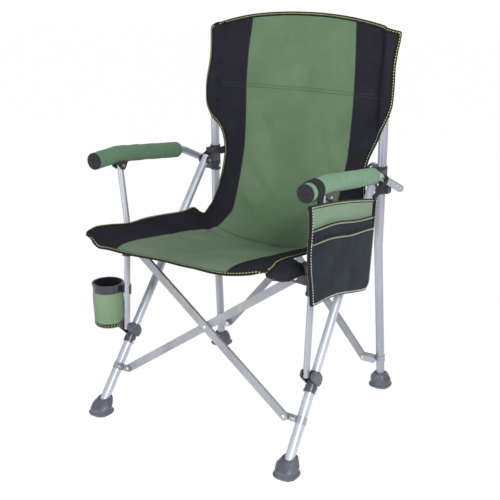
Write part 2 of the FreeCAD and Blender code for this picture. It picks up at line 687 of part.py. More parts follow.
def make_corner_slider(bar_layer):
    """Ring that slides on the support tube, with a lug for the bar and a clevis for the corner rod."""
    low = on_support(CORNER_SLIDER_BOTTOM)
    high = on_support(CORNER_SLIDER_TOP)
    ring = rod(low, high, SUPPORT_R + GAP + 4.0)
    flange = rod(low, low + SUPPORT_UP * 6, SUPPORT_R + GAP + 5.5)
    root = on_support(FRONT_HIGH[1])
    near, far = lug_range(bar_layer)
    lug = strap(vec(root.x - 4, *FRONT_HIGH), FRONT_HIGH_PIN, 13.0, EAR_R, SCISSOR_OUT, near, far)
    web_y = FRONT_HIGH[0] - SCISSOR_OUT.y * -1 * near
    tie_y = min(web_y, root.y) - 6
    tie = box(root.x - 11, root.x + 2, tie_y, root.y, FRONT_HIGH[1] - 12, FRONT_HIGH[1] + 12)
    clevis = box(ROD_X + ROD_R + GAP, root.x, ROD_HINGE[0] - 8, ROD_HINGE[0] + 8, CORNER_SLIDER_TOP - 14,
                 ROD_HINGE[1] + 8)
    bore = rod(low - SUPPORT_UP * 30, high + SUPPORT_UP * 60, SUPPORT_R + GAP)
    behind = FRONT_HIGH_PIN + SCISSOR_OUT * near
    bar_room = rod(behind, behind - SCISSOR_OUT * 30, BAR_WIDTH / 2 + 3)
    body = fuse_all([ring, flange, lug, tie, clevis]).cut(bar_room).cut(bore)
    hole = rod(FRONT_HIGH_PIN - SCISSOR_OUT * 30, FRONT_HIGH_PIN + SCISSOR_OUT * 30, RIVET_R)
    rod_hole = rod(vec(ROD_X, *ROD_HINGE), vec(ROD_X + 13, *ROD_HINGE), PIN_R)
    return body.cut(hole).cut(rod_hole)


def make_corner_rivets(bar_layer):
    near, far = lug_range(bar_layer)
    head = stub_rivet(FRONT_HIGH_PIN + SCISSOR_OUT * far, SCISSOR_OUT, far - near)
    hinge = fuse_all([rod(vec(ROD_X - ROD_R - GAP, *ROD_HINGE), vec(ROD_X + 12.5, *ROD_HINGE), PIN_R),
                      pin_head(vec(ROD_X - ROD_R - GAP, *ROD_HINGE), X_AXIS * -1)])
    return Part.makeCompound([head, hinge])


def make_corner_rod():
    """Rod that hinges on the corner slider and reaches forward to the seat's front corner."""
    hinge = vec(ROD_X, *ROD_HINGE)
    tip = vec(ROD_X, *ROD_TIP)
    back = hinge - unit(tip - hinge) * 7
    shaft = rod(back, tip, ROD_R)
    ball = Part.makeSphere(ROD_R + 1.5, tip)
    hole = rod(hinge - X_AXIS * 20, hinge + X_AXIS * 20, PIN_R + PIN_GAP)
    return fuse_all([shaft, ball]).cut(hole)


# ---------------------------------------------------------------- front scissor
def front_bar_ends(direction):
    """Direction +1 rises from the left leg to the right corner, -1 the other way."""
    low = vec(-direction * FRONT_PIVOT_X, *FRONT_LOW)
    high = vec(direction * CORNER_X, *FRONT_HIGH)
    return low, high


def make_front_pins(direction, layer):
    """Pins of one front bar: through the link's tongue at its lower end, and the rivet at the crossing."""
    low, high = front_bar_ends(direction)
    face = SCISSOR_OUT * (layer * (BAR_HALF_GAP + BAR_THICK))
    tongue_face = low - SCISSOR_OUT * (layer * (TONGUE + GAP))
    crossing = stub_rivet((low + high) * 0.5 + face, SCISSOR_OUT * layer, BAR_THICK, PIN_R)
    return Part.makeCompound([through_pin(tongue_face, low + face), crossing])


# ---------------------------------------------------------------- cup holder (drawn on the right)
def make_cup_ring():
    """Moulded ring with a clip that holds the support tube from behind."""
    inner = CUP_RING_R - CUP_RING_WALL
    low = vec(CUP_X, CUP_Y, CUP_RING_BOTTOM)
    high = vec(CUP_X, CUP_Y, CUP_RING_TOP)
    ring = rod(low, high, CUP_RING_R)
    lip = rod(high - Z_AXIS * CUP_LIP_HEIGHT, high, CUP_RING_R + CUP_LIP)
    axis_low = on_support(CUP_RING_BOTTOM)
    axis_high = on_support(CUP_RING_TOP)
    clip = rod(axis_low, axis_high, SUPPORT_R + CUP_CLIP_WALL)
    front = axis_high.y - SUPPORT_R * 0.4
    clip = clip.cut(box(axis_low.x - 20, axis_low.x + 20, front - 40, front, 0, SUPPORT_BEND[2]))
    bridge = box(axis_low.x + 2, CUP_X - inner - 2, front, front + 22, CUP_RING_BOTTOM, CUP_RING_TOP)
    body = fuse_all([ring, lip, clip, bridge])
    body = body.cut(rod(low - Z_AXIS * 5, high + Z_AXIS * 20, inner))
    return body.cut(rod(axis_low - SUPPORT_UP * 20, axis_high + SUPPORT_UP * 20, SUPPORT_R + PIN_GAP))


def make_cup_bag():
    """Fabric beaker hung inside the ring, open at the top."""
    top_r = CUP_RING_R - CUP_RING_WALL - PIN_GAP
    levels = [(CUP_BAG_BOTTOM, CUP_BAG_LOW_R - 4), (CUP_BAG_BOTTOM + 6, CUP_BAG_LOW_R),
              (CUP_RING_BOTTOM - 40, top_r - 0.5), (CUP_RING_TOP - 2, top_r)]
    shells = []
    for shrink, lift in ((0.0, 0.0), (CUP_BAG_WALL, CUP_BAG_WALL)):
        wires = []
        for z, r in levels:
            height = z + lift * (1 if z < CUP_RING_BOTTOM else 2)
            wires.append(Part.Wire(Part.makeCircle(r - shrink, vec(CUP_X, CUP_Y, height), Z_AXIS)))
        shells.append(Part.makeLoft(wires, True, True))
    return shells[0].cut(shells[1])


# ---------------------------------------------------------------- side pocket, right side
def pocket_corner(y_share, down):
    """A point of the pocket's outline: share 0 at its front edge, 1 at its rear, down from the top."""
    narrowing = POCKET_LEAN * down / POCKET_DEPTH
    y = POCKET_FRONT_Y + (POCKET_REAR_Y - POCKET_FRONT_Y - narrowing) * y_share
    top = POCKET_TOP[0] + (POCKET_TOP[1] - POCKET_TOP[0]) * y_share
    return y, top - down


def pocket_slab(x0, x1, inset, top_front, top_rear, bottom):
    """A slab of the pocket between two x planes, inset from the side edges and the bottom."""
    width = POCKET_REAR_Y - POCKET_FRONT_Y
    share = inset / width
    outline = [pocket_corner(share, top_front), pocket_corner(1 - share, top_rear),
               pocket_corner(1 - share, bottom - inset), pocket_corner(share, bottom - inset)]
    corners = [vec(x0, y, z) for y, z in outline]
    return Part.Face(Part.makePolygon(corners + corners[:1])).extrude(X_AXIS * (x1 - x0))


def pocket_loop(y, inner_r):
    """Band of strap round the arm at y, with a flank out to the pocket's panel."""
    centre = arm_point(y)
    half = unit(arm_point(y - 5) - arm_point(y + 5)) * (STRAP_WIDTH / 2)
    low, high = y - STRAP_WIDTH / 2, y + STRAP_WIDTH / 2
    band = rod(centre - half, centre + half, inner_r + STRAP_THICK)
    flank = box(ARM_X + inner_r, POCKET_X + POCKET_PANEL, low, high, centre.z - 4, centre.z + 4)
    return fuse_all([band, flank]).cut(rod(centre - half * 4, centre + half * 4, inner_r))


def pocket_tail(outline):
    """A flat strap in the plane of the pocket's panel."""
    corners = [vec(POCKET_X, y, z) for y, z in outline]
    return Part.Face(Part.makePolygon(corners + corners[:1])).extrude(X_AXIS * POCKET_PANEL)


def make_side_pocket():
    """Hanging organiser: back panel, two nested pouches open at the top, and straps to the arm rest."""
    x0 = POCKET_X
    x1 = x0 + POCKET_PANEL
    x2 = x1 + POCKET_ROOM
    x3 = x2 + POCKET_SKIN
    x4 = x3 + POCKET_ROOM
    x5 = x4 + POCKET_SKIN
    inner_mouth = (POCKET_MOUTH_FRONT - POCKET_STEP, POCKET_MOUTH_REAR - POCKET_STEP)
    panel = pocket_slab(x0, x1, 0, 0, 0, POCKET_DEPTH)
    inner_pouch = pocket_slab(x0, x3, 0, *inner_mouth, POCKET_DEPTH)
    outer_pouch = pocket_slab(x0, x5, 0, POCKET_MOUTH_FRONT, POCKET_MOUTH_REAR, POCKET_DEPTH)
    inner_room = pocket_slab(x1, x2, POCKET_SEAM, 0, 0, POCKET_DEPTH)
    outer_room = pocket_slab(x3, x4, POCKET_SEAM, 0, 0, POCKET_DEPTH)
    half = STRAP_WIDTH / 2
    front = POCKET_LOOP_FRONT_Y
    front_z = arm_z(front)
    front_tail = pocket_tail([(front - half, front_z), (front + half, front_z),
                              (front + half, front_z - STRAP_TAIL), (front - half, front_z - STRAP_TAIL)])
    rear = POCKET_LOOP_REAR_Y
    rear_z = arm_z(rear)
    corner_y, corner_z = POCKET_REAR_Y, POCKET_TOP[1]
    rear_tail = pocket_tail([(rear + half, rear_z), (rear - half, rear_z + 3),
                             (corner_y - STRAP_WIDTH, corner_z), (corner_y - 4, corner_z - 10)])
    loops = [pocket_loop(front, PAD_R + 2 * GAP), pocket_loop(rear, ARM_R + 2 * GAP)]
    straps = loops + [front_tail, rear_tail]
    return fuse_all([panel, inner_pouch, outer_pouch] + straps).cut(inner_room).cut(outer_room)


# ---------------------------------------------------------------- sling
def sheet(sections, thickness):
    """A smooth panel made solid along the thickness vector.

    Each section runs across the chair, even about the middle, through its edge, through a point at the
    colour seam and through its centre."""
    poles = []
    for (x, y, z), seam, centre in sections:
        seam_share = (SEAM_X / x) ** 2
        rows = []
        for edge_value, seam_value, centre_value in zip((y, z), seam, centre):
            rise = edge_value - centre_value
            fourth = (seam_value - centre_value - rise * seam_share) / (seam_share ** 2 - seam_share)
            square = rise - fourth
            rows.append((edge_value, centre_value - fourth, centre_value - square / 3 + fourth))
        (y_edge, y_flank, y_mid), (z_edge, z_flank, z_mid) = rows
        poles.append([vec(-x, y_edge, z_edge), vec(-x / 2, y_flank, z_flank), vec(0, y_mid, z_mid),
                      vec(x / 2, y_flank, z_flank), vec(x, y_edge, z_edge)])
    spans = len(poles) - 2
    surface = Part.BSplineSurface()
    surface.buildFromPolesMultsKnots(poles, [3] + [1] * (spans - 1) + [3], [5, 5],
                                     list(range(spans + 1)), [0, 1], False, False, 2, 4)
    return surface.toShape().extrude(thickness)


# sections of the sling: half width and edge, then the colour seam, then the centre, as (y, z)
CREASE = ((246, -104, 464), (-192, 452), (-160, 414))
BACK_SECTIONS = [
    CREASE,
    ((240, -86, 484), (-145, 468), (-134, 446)),
    ((232, -66, 535), (-90, 524), (-92, 520)),
    ((226, -53, 600), (-57, 598), (-54, 598)),
    ((222, -47, 650), (-38, 655), (-32, 658)),
    ((236, -44, 706), (-29, 714), (-20, 720)),
    ((252.6, -41, 776), (-22, 792), (-12, 797)),
    ((252.6, -37, 860), (-14, 880), (-3, 888)),
    ((252.6, -22, 986), (1, 1016), (11, 1026))]
SEAT_SECTIONS = [
    CREASE,
    ((252, -126, 466), (-215, 456), (-188, 424)),
    ((258, -186, 486), (-258, 461), (-232, 436)),
    ((262, -290, 496), (-350, 477), (-330, 458)),
    ((264, -430, 507), (-470, 494), (-455, 480)),
    ((282, -520, 513), (-562, 504), (-552, 492)),
    ((296, -575, 506), (-608, 498), (-606, 494))]


def make_back_sling():
    """Back panel in a shallow curve, with a sleeve over each post's upper part."""
    panel = sheet(BACK_SECTIONS, vec(0, SLING_THICK, -SLING_THICK) * math.sqrt(0.5))
    bend = vec(POST_X, POST_Y, POST_BEND_Z)
    top = vec(POST_X, *POST_TOP)
    lean = unit(top - bend)
    path = [vec(POST_X, POST_Y, SLEEVE_BOTTOM), bend, top + lean * 12]
    outer = POST_R + GAP + SLEEVE_THICK
    sleeve = bent_rod(path, POST_BEND_R, outer)
    room = bent_rod([path[0] - Z_AXIS * 200, bend, top + lean * 1], POST_BEND_R, POST_R + GAP)
    body = fuse_all([panel, sleeve, mirrored(sleeve)])
    return body.cut(room).cut(mirrored(room))


def make_seat_sling():
    """Seat panel, sagging between its edges, from the crease to the front edge."""
    seat = sheet(SEAT_SECTIONS, vec(0, 0, -SLING_THICK))
    seat.translate(vec(0, -2 * GAP, -2 * GAP))
    return seat


# ---------------------------------------------------------------- the whole chair
def build():
    nodes = {}

    def both(name, shape):
        nodes[name + "_right"] = shape
        nodes[name + "_left"] = mirrored(shape)

    def each(name, maker, right_layer):
        nodes[name + "_right"] = maker(right_layer)
        nodes[name + "_left"] = mirrored(maker(-right_layer))

    both("back_post", make_back_post())
    both("rear_leg", make_rear_leg())
    both("rear_foot", make_foot(on_rear_leg(FOOT_SOLE), REAR_DOWN, REAR_LEG_R))
    both("post_collar", make_post_collar())
    nodes["post_rivets_right"] = make_post_rivets(-1)
    nodes["post_rivets_left"] = mirrored(make_post_rivets(1))
    both("hub_slider", make_hub())
    nodes["hub_pins_right"] = make_hub_pins(1)
    nodes["hub_pins_left"] = mirrored(make_hub_pins(-1))
    both("front_leg_upper", make_upper_leg())
    both("front_leg_lower", make_lower_leg())
    both("front_foot", make_foot(on_leg(LEG_END_AT), LEG_DOWN, LOWER_LEG_R))
    both("leg_stop_collar", make_stop_collar())
    both("link_clamp", make_link_clamp())
    both("leg_rivets", make_leg_rivets())
    both("leg_slider", make_leg_slider())
    bracket = make_arm_bracket()
    both("arm_tube", make_arm_tube())
    both("arm_bracket", bracket)
    both("arm_pad", make_arm_pad(bracket))
    both("arm_caps", make_arm_caps())
    both("arm_pin", make_arm_pin())
    both("support_tube", make_support())
    both("corner_rod", make_corner_rod())
    each("corner_slider", make_corner_slider, -1)
    each("corner_rivets", make_corner_rivets, -1)
    each("bar_link", make_link, 1)

    loose = PIN_R + PIN_GAP
    low, high = rear_bar_ends(1)
    nodes["rear_bar_a"] = make_bar(low, high, REAR_OUT, 1, (loose, PIN_R, loose))
    low, high = rear_bar_ends(-1)
    nodes["rear_bar_b"] = make_bar(low, high, REAR_OUT, -1, (loose, loose, loose))
    nodes["rear_cross_pin"] = make_rear_cross_pin()
    low, high = front_bar_ends(-1)
    nodes["front_bar_a"] = make_bar(low, high, SCISSOR_OUT, 1, (PIN_R, PIN_R, PIN_R))
    nodes["front_pins_a"] = make_front_pins(-1, 1)
    low, high = front_bar_ends(1)
    nodes["front_bar_b"] = make_bar(low, high, SCISSOR_OUT, -1, (PIN_R, PIN_R, PIN_R))
    nodes["front_pins_b"] = make_front_pins(1, -1)

    nodes["cup_ring"] = mirrored(make_cup_ring())
    nodes["cup_bag"] = mirrored(make_cup_bag())
    nodes["side_pocket"] = make_side_pocket()
    nodes["back_sling"] = make_back_sling()
    nodes["seat_sling"] = make_seat_sling()
    return nodes


def place(nodes):
    """Move the chair so that the origin is the bottom centre of its box."""
    outermost = ("side_pocket", "cup_ring", "seat_sling", "rear_foot_right")
    widest = Part.makeCompound([nodes[name] for name in outermost])
    extent = widest.optimalBoundingBox(False, False)
    shift = vec(-(extent.XMin + extent.XMax) / 2, -(extent.YMin + extent.YMax) / 2, 0)
    for shape in nodes.values():
        shape.translate(shift)


NODES = build()
place(NODES)
os.makedirs("parts", exist_ok=True)
for name, shape in NODES.items():
    shape.exportStep("parts/" + name + ".step")
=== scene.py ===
"""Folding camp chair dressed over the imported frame.

Chair measures are in millimetres about the chair's mid-plane, with the rear feet at y = 0 and the
front at -y, as the solids were drawn. place() turns them into the row frame's metres.
"""
import math

import bpy
import numpy as np
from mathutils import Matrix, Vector, noise

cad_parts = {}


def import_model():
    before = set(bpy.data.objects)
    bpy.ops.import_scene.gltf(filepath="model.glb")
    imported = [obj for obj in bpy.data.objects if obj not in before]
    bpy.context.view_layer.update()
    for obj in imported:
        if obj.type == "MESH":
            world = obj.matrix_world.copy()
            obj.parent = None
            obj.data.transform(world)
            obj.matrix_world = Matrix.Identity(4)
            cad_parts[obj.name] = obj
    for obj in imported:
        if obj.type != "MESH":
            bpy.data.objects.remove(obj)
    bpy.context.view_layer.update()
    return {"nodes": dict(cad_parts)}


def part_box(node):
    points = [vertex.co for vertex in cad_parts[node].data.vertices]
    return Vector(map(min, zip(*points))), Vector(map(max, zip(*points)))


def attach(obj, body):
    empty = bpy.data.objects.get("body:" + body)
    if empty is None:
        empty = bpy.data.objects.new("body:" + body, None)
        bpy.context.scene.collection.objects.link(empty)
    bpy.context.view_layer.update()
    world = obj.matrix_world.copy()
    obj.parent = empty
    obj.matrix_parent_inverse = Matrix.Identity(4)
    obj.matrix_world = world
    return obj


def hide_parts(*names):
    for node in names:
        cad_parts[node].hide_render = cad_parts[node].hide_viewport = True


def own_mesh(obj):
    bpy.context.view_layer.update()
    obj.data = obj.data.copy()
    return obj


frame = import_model()

# -------------------------------- the chair's own measures
POST_X, POST_Y, POST_R = 266.0, -38.0, 12.0
POST_BEND_Z, POST_TOP = 840.0, (-22.0, 972.0)
SLEEVE_BOTTOM = 776.0
SEAM_X = 157.0
ARM_X, PAD_R, PAD_REAR_Y = 304.0, 21.3, -166.0
ARM_LINE = [(-45.0, 604.0), (-148.0, 649.0), (-430.0, 685.0), (-513.0, 681.5)]
CUP_X, CUP_Y, RING_LOW, RING_HIGH, BAG_LOW = -341.0, -450.0, 309.0, 331.0, 208.0
POCKET_X, POCKET_Y, POCKET_TOP = 326.0, (-546.0, -210.0), (662.0, 605.0)
POCKET_DEPTH, POCKET_LEAN = 226.0, 28.0
MOUTH_OUTER, MOUTH_INNER = (80.0, 70.0), (50.0, 43.0)
POCKET_WAVE = 3.5
LEG_PIN, FRONT_FOOT, LOWER_LEG_R = (266.0, -91.0, 613.0), (290.0, -572.0), 12.2
REAR_BEND, REAR_FOOT, REAR_LEG_R = (266.0, -38.0, 430.0), (276.0, 0.0), 11.4
LEG_BOTTOM, SOCKET_GAP = 17.0, 0.1
LABEL = {1: "right", -1: "left"}

left_post, right_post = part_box("back_post_left"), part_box("back_post_right")
MIDDLE_X = (left_post[0].x + right_post[1].x) / 2
ORIGIN = np.array([MIDDLE_X, right_post[0].y + (POST_R - POST_Y) / 1000, 0.0])


def place(points):
    """Chair millimetres as the frame's metres."""
    return np.asarray(points, float) / 1000 + ORIGIN


X_OUT = np.array([1.0, 0, 0])


# -------------------------------- curves
def flowing(knots, values, where):
    """A smooth curve through the rows of values at knots, read at where."""
    slopes = np.gradient(values, knots, axis=0)
    k = np.clip(np.searchsorted(knots, where, side="right") - 1, 0, len(knots) - 2)
    width = (knots[k + 1] - knots[k])[:, None]
    t = (where - knots[k])[:, None] / width
    return ((2 * t ** 3 - 3 * t ** 2 + 1) * values[k] + (t ** 3 - 2 * t ** 2 + t) * width * slopes[k]
            + (3 * t ** 2 - 2 * t ** 3) * values[k + 1] + (t ** 3 - t ** 2) * width * slopes[k + 1])


def lengths(points):
    """Distance along a polyline at each of its points."""
    steps = np.linalg.norm(np.diff(points, axis=0), axis=1)
    return np.concatenate([[0.0], np.cumsum(steps)])


def even(points, step, *others):
    """The polyline, and tables beside it, read at even steps."""
    run = lengths(points)
    at = np.linspace(0, run[-1], max(2, int(round(run[-1] / step)) + 1))
    read = [np.stack([np.interp(at, run, table[:, k]) for k in range(3)], 1) for table in (points, *others)]
    return read if others else read[0]


def unit(v):
    """Vectors at length 1."""
    return v / np.maximum(np.linalg.norm(v, axis=-1, keepdims=True), 1e-12)


def tangents(points):
    """Unit direction of travel at each point."""
    return unit(np.gradient(points, axis=0))


def ripple(points, size, height, seed):
    """Soft uneven waves, read at each point. size is one wavelength, or one for each axis."""
    scale = 1.0 / np.broadcast_to(np.asarray(size, float), 3)
    flat = points.reshape(-1, 3) * scale + seed * 7.3
    waves = [noise.noise(Vector(p)) + 0.5 * noise.noise(Vector(p) * 2.1) for p in flat]
    return height * np.array(waves).reshape(points.shape[:-1])


def crumple(points, size, height, seed):
    """Narrow creases between flatter patches."""
    return height * (0.5 - np.sqrt(np.abs(ripple(points, size, 1.0, seed)) + 0.01))


# -------------------------------- meshes
def new_object(name, data):
    """An object of this data, in the scene."""
    obj = bpy.data.objects.new(name, data)
    bpy.context.scene.collection.objects.link(obj)
    return obj


def add_mesh(name, points, faces, corners=None):
    """A smooth-shaded object from points in chair millimetres. corners are its cloth coordinates."""
    mesh = bpy.data.meshes.new(name)
    mesh.from_pydata([tuple(p) for p in place(points)], [], faces)
    if corners is not None:
        layer = mesh.uv_layers.new(name="cloth")
        layer.data.foreach_set("uv", np.asarray(corners, np.float32).ravel())
    mesh.polygons.foreach_set("use_smooth", [True] * len(mesh.polygons))
    return new_object(name, mesh)


def run_of(table, axis):
    """Mean distance along one axis of a table of points, in metres."""
    steps = np.linalg.norm(np.diff(table, axis=axis), axis=2).mean(1 - axis)
    return np.concatenate([[0.0], np.cumsum(steps)]) / 1000


def grid(name, rows, wrap=False, capped=False):
    """Quads through a table of points, with cloth coordinates in metres.
    wrap joins the last column to the first."""
    rows = np.asarray(rows, float)
    n, m = rows.shape[:2]
    around = np.concatenate([rows, rows[:, :1]], 1) if wrap else rows
    u, v = run_of(around, 1), run_of(rows, 0)
    faces, corners = [], []
    for i in range(n - 1):
        for j in range(around.shape[1] - 1):
            k = (j + 1) % m
            faces.append((i * m + j, i * m + k, (i + 1) * m + k, (i + 1) * m + j))
            corners += [(u[j], v[i]), (u[j + 1], v[i]), (u[j + 1], v[i + 1]), (u[j], v[i + 1])]
    if capped:
        for row, turn in ((0, -1), (n - 1, 1)):
            ring = list(range(row * m, row * m + m))[::turn]
            faces.append(tuple(ring))
            corners += [(u[j % m], v[row]) for j in ring]
    return add_mesh(name, rows.reshape(-1, 3), faces, corners)


def strip(name, points, normals, profile):
    """A band swept along a line. The profile is (inwards, out of the cloth) offsets, going round."""
    along = tangents(points)
    inward = unit(np.cross(normals, along))
    rows = np.stack([points + inward * b + normals * h for b, h in profile], 1)
    return grid(name, rows, wrap=True, capped=True)


DASH_RINGS = ((-0.5, 0.45), (-0.32, 1.0), (0.32, 1.0), (0.5, 0.45))  # share of the length, share of the width
DASH_SIDES = 6


def stitches(name, points, normals, period=5.2, length=3.2, width=2.2, height=0.9, inset=0.0, lift=0.0):
    """A row of short raised thread dashes along a line."""
    points, normals = even(points, period, normals)
    points, normals = (points[1:] + points[:-1]) / 2, unit(normals[1:] + normals[:-1])
    along = tangents(points)
    inward = unit(np.cross(normals, along))
    turn = np.arange(DASH_SIDES) * 2 * math.pi / DASH_SIDES
    verts, faces = [], []
    for c, t, b, n in zip(points, along, inward, normals):
        start = len(verts)
        for s, r in DASH_RINGS:
            for a in turn:
                verts.append(c + t * length * s + b * (inset + width / 2 * r * math.cos(a))
                             + n * (lift + height * r * math.sin(a)))
        for ring in range(len(DASH_RINGS) - 1):
            low, high = start + ring * DASH_SIDES, start + (ring + 1) * DASH_SIDES
            for j in range(DASH_SIDES):
                k = (j + 1) % DASH_SIDES
                faces.append((low + j, low + k, high + k, high + j))
        faces.append(tuple(range(start + DASH_SIDES - 1, start - 1, -1)))
        faces.append(tuple(range(high, high + DASH_SIDES)))
    return add_mesh(name, np.array(verts), faces)


def joined(name, *parts):
    """One mesh object made of several."""
    points, faces, corners, slots, indices = [], [], [], [], []
    for part in parts:
        start = sum(len(p) for p in points)
        mesh = part.data
        co = np.empty(len(mesh.vertices) * 3)
        mesh.vertices.foreach_get("co", co)
        points.append((co.reshape(-1, 3) - ORIGIN) * 1000)
        layer = mesh.uv_layers.get("cloth")
        shift = len(slots)
        slots += list(mesh.materials) or [None]
        for poly in mesh.polygons:
            faces.append([start + v for v in poly.vertices])
            corners += [tuple(layer.data[i].uv) if layer else (0, 0) for i in poly.loop_indices]
            indices.append(shift + poly.material_index)
        bpy.data.objects.remove(part)
    obj = add_mesh(name, np.concatenate(points), faces, corners)
    for m in slots:
        obj.data.materials.append(m)
    obj.data.polygons.foreach_set("material_index", indices)
    return obj


def bake_modifiers(obj):
    """The mesh with its modifiers in it, and none left on the object."""
    graph = bpy.context.evaluated_depsgraph_get()
    mesh = bpy.data.meshes.new_from_object(obj.evaluated_get(graph))
    obj.modifiers.clear()
    obj.data = mesh
    return obj


def thicken(obj, millimetres, side=-1.0):
    """The sheet as a solid of this thickness, on its rear side or, with side 0, on both."""
    solid = obj.modifiers.new("thickness", "SOLIDIFY")
    solid.thickness, solid.offset = millimetres / 1000, side
    solid.use_even_offset = True
    return bake_modifiers(obj)


def soften(obj):
    """The mesh with its facets divided once and rounded."""
    smooth = obj.modifiers.new("smooth", "SUBSURF")
    smooth.levels = smooth.render_levels = 1
    return bake_modifiers(obj)


# -------------------------------- materials
def rgb(code):
    """Linear colour of a hex sRGB code."""
    parts = [int(code[i:i + 2], 16) / 255 for i in (1, 3, 5)]
    return [c / 12.92 if c <= 0.04045 else ((c + 0.055) / 1.055) ** 2.4 for c in parts] + [1.0]


class Nodes:
    """Short hand for building one material's node tree."""

    def __init__(self, name):
        self.material = bpy.data.materials.new(name)
        self.material.use_nodes = True
        self.tree = self.material.node_tree
        self.surface = self.tree.nodes["Principled BSDF"]

    def add(self, kind, inputs=(), **settings):
        node = self.tree.nodes.new(kind)
        for key, value in settings.items():
            setattr(node, key, value)
        for key, value in dict(inputs).items():
            self.put(node.inputs[key], value)
        return node

    def put(self, socket, value):
        if isinstance(value, bpy.types.NodeSocket):
            self.tree.links.new(value, socket)
        else:
            socket.default_value = value

    def math(self, operation, a, b=0.0):
        return self.add("ShaderNodeMath", {0: a, 1: b}, operation=operation).outputs[0]

    def noise(self, where, scale, detail=3.0, rough=0.5):
        inputs = {"Vector": where, "Scale": scale, "Detail": detail, "Roughness": rough}
        return self.add("ShaderNodeTexNoise", inputs).outputs["Fac"]

    def blend(self, share, low, high):
        node = self.add("ShaderNodeMix", data_type="RGBA")
        for socket, value in ((node.inputs[0], share), (node.inputs[6], low), (node.inputs[7], high)):
            self.put(socket, value)
        return node.outputs[2]

    def spread(self, value, low, high, to_low=0.0, to_high=1.0):
        inputs = {"Value": value, "From Min": low, "From Max": high, "To Min": to_low, "To Max": to_high}
        return self.add("ShaderNodeMapRange", inputs).outputs[0]

    def bump(self, height, distance, strength=1.0, under=None):
        inputs = {"Height": height, "Distance": distance, "Strength": strength}
        if under is not None:
            inputs["Normal"] = under
        return self.add("ShaderNodeBump", inputs).outputs[0]

    def finish(self, **sockets):
        for key, value in sockets.items():
            self.put(self.surface.inputs[key.replace("_", " ")], value)
        return self.material


def woven(name, dark, light, thread=1.7, cloth=True, sheen=0.25, rough=0.82, height=0.22, fleck=0.35,
          specular=0.25):
    """Plain-weave cloth: crossing threads, slubs and slow fading. It follows the cloth coordinates, or the
    object's own where cloth is False."""
    n = Nodes(name)
    if cloth:
        where = n.add("ShaderNodeUVMap", uv_map="cloth").outputs[0]
    else:
        where = n.add("ShaderNodeTexCoord").outputs["Object"]
    split = n.add("ShaderNodeSeparateXYZ", {0: where}).outputs
    turns = 2 * math.pi / (thread / 1000)
    warp = n.math("SINE", n.math("MULTIPLY", split[0], turns))
    weft = n.math("SINE", n.math("MULTIPLY", split[1] if cloth else split[2], turns))
    weave = n.math("MULTIPLY", warp, weft)
    slub = n.noise(where, 420.0, 4.0, 0.6)
    fade = n.noise(where, 9.0, 3.0, 0.55)
    flecks = n.spread(slub, 0.25, 0.75, 0.5 - fleck, 0.5 + fleck)
    share = n.math("ADD", n.math("MULTIPLY", weave, 0.13), flecks)
    share = n.math("ADD", share, n.spread(fade, 0.3, 0.7, -0.16, 0.16))
    colour = n.blend(share, rgb(dark), rgb(light))
    fine = n.bump(n.math("ADD", weave, slub), height / 1000)
    surface = n.bump(fade, 0.0012, 0.6, fine)
    return n.finish(Base_Color=colour, Roughness=rough, Normal=surface, Sheen_Weight=sheen,
                    Sheen_Roughness=0.5, Specular_IOR_Level=specular)


def netting(name, dark, light, cell=2.6):
    """Fine mesh cloth: a lattice of dark threads with lighter ground between."""
    n = Nodes(name)
    where = n.add("ShaderNodeUVMap", uv_map="cloth").outputs[0]
    split = n.add("ShaderNodeSeparateXYZ", {0: where}).outputs
    turns = math.pi / (cell / 1000)
    a, b = (n.math("ABSOLUTE", n.math("SINE", n.math("MULTIPLY", n.math(way, split[0], split[1]), turns)))
            for way in ("ADD", "SUBTRACT"))
    holes = n.spread(n.math("MULTIPLY", a, b), 0.15, 0.6)
    cloudy = n.noise(where, 14.0, 4.0, 0.6)
    share = n.math("ADD", n.math("MULTIPLY", holes, 0.45), n.spread(cloudy, 0.3, 0.7, 0.0, 0.5))
    colour = n.blend(share, rgb(dark), rgb(light))
    return n.finish(Base_Color=colour, Roughness=0.78, Normal=n.bump(n.math("SUBTRACT", 1.0, holes), 0.0003),
                    Sheen_Weight=0.05, Specular_IOR_Level=0.12)


def coated(name, dark, light, metallic, rough, grain=120.0, height=0.0000004, wear=0.06):
    """Painted or plated metal: fine orange peel, slow tone change, handling marks."""
    n = Nodes(name)
    where = n.add("ShaderNodeTexCoord").outputs["Object"]
    stretched = n.add("ShaderNodeMapping", {"Vector": where, "Scale": (1.0, 1.0, 0.25)}).outputs[0]
    peel = n.noise(where, grain, 1.0)
    tone = n.noise(stretched, 16.0, 5.0, 0.6)
    marks = n.spread(n.noise(stretched, 130.0, 4.0, 0.7), 0.6, 0.75)
    share = n.math("SUBTRACT", n.spread(tone, 0.3, 0.7), n.math("MULTIPLY", marks, wear))
    colour = n.blend(share, rgb(dark), rgb(light))
    dulled = n.spread(tone, 0.3, 0.7, rough - 0.05, rough + 0.05)
    roughness = n.math("ADD", dulled, n.math("MULTIPLY", marks, 0.05))
    return n.finish(Base_Color=colour, Roughness=roughness, Metallic=metallic, Normal=n.bump(peel, height))


def moulded(name, dark, light, rough, grain=900.0, height=0.00009, edge=0.0009, coat=0.0):
    """Moulded plastic or rubber: pebble grain, softened edges, dust in the tone."""
    n = Nodes(name)
    where = n.add("ShaderNodeTexCoord").outputs["Object"]
    pebble = n.noise(where, grain, 3.0, 0.6)
    tone = n.noise(where, 35.0, 5.0, 0.65)
    round_edge = n.add("ShaderNodeBevel", {"Radius": edge}, samples=4).outputs[0]
    colour = n.blend(n.spread(tone, 0.3, 0.7), rgb(dark), rgb(light))
    return n.finish(Base_Color=colour, Roughness=n.spread(tone, 0.3, 0.7, rough - 0.06, rough + 0.06),
                    Normal=n.bump(pebble, height, 1.0, round_edge), Coat_Weight=coat, Coat_Roughness=0.12)


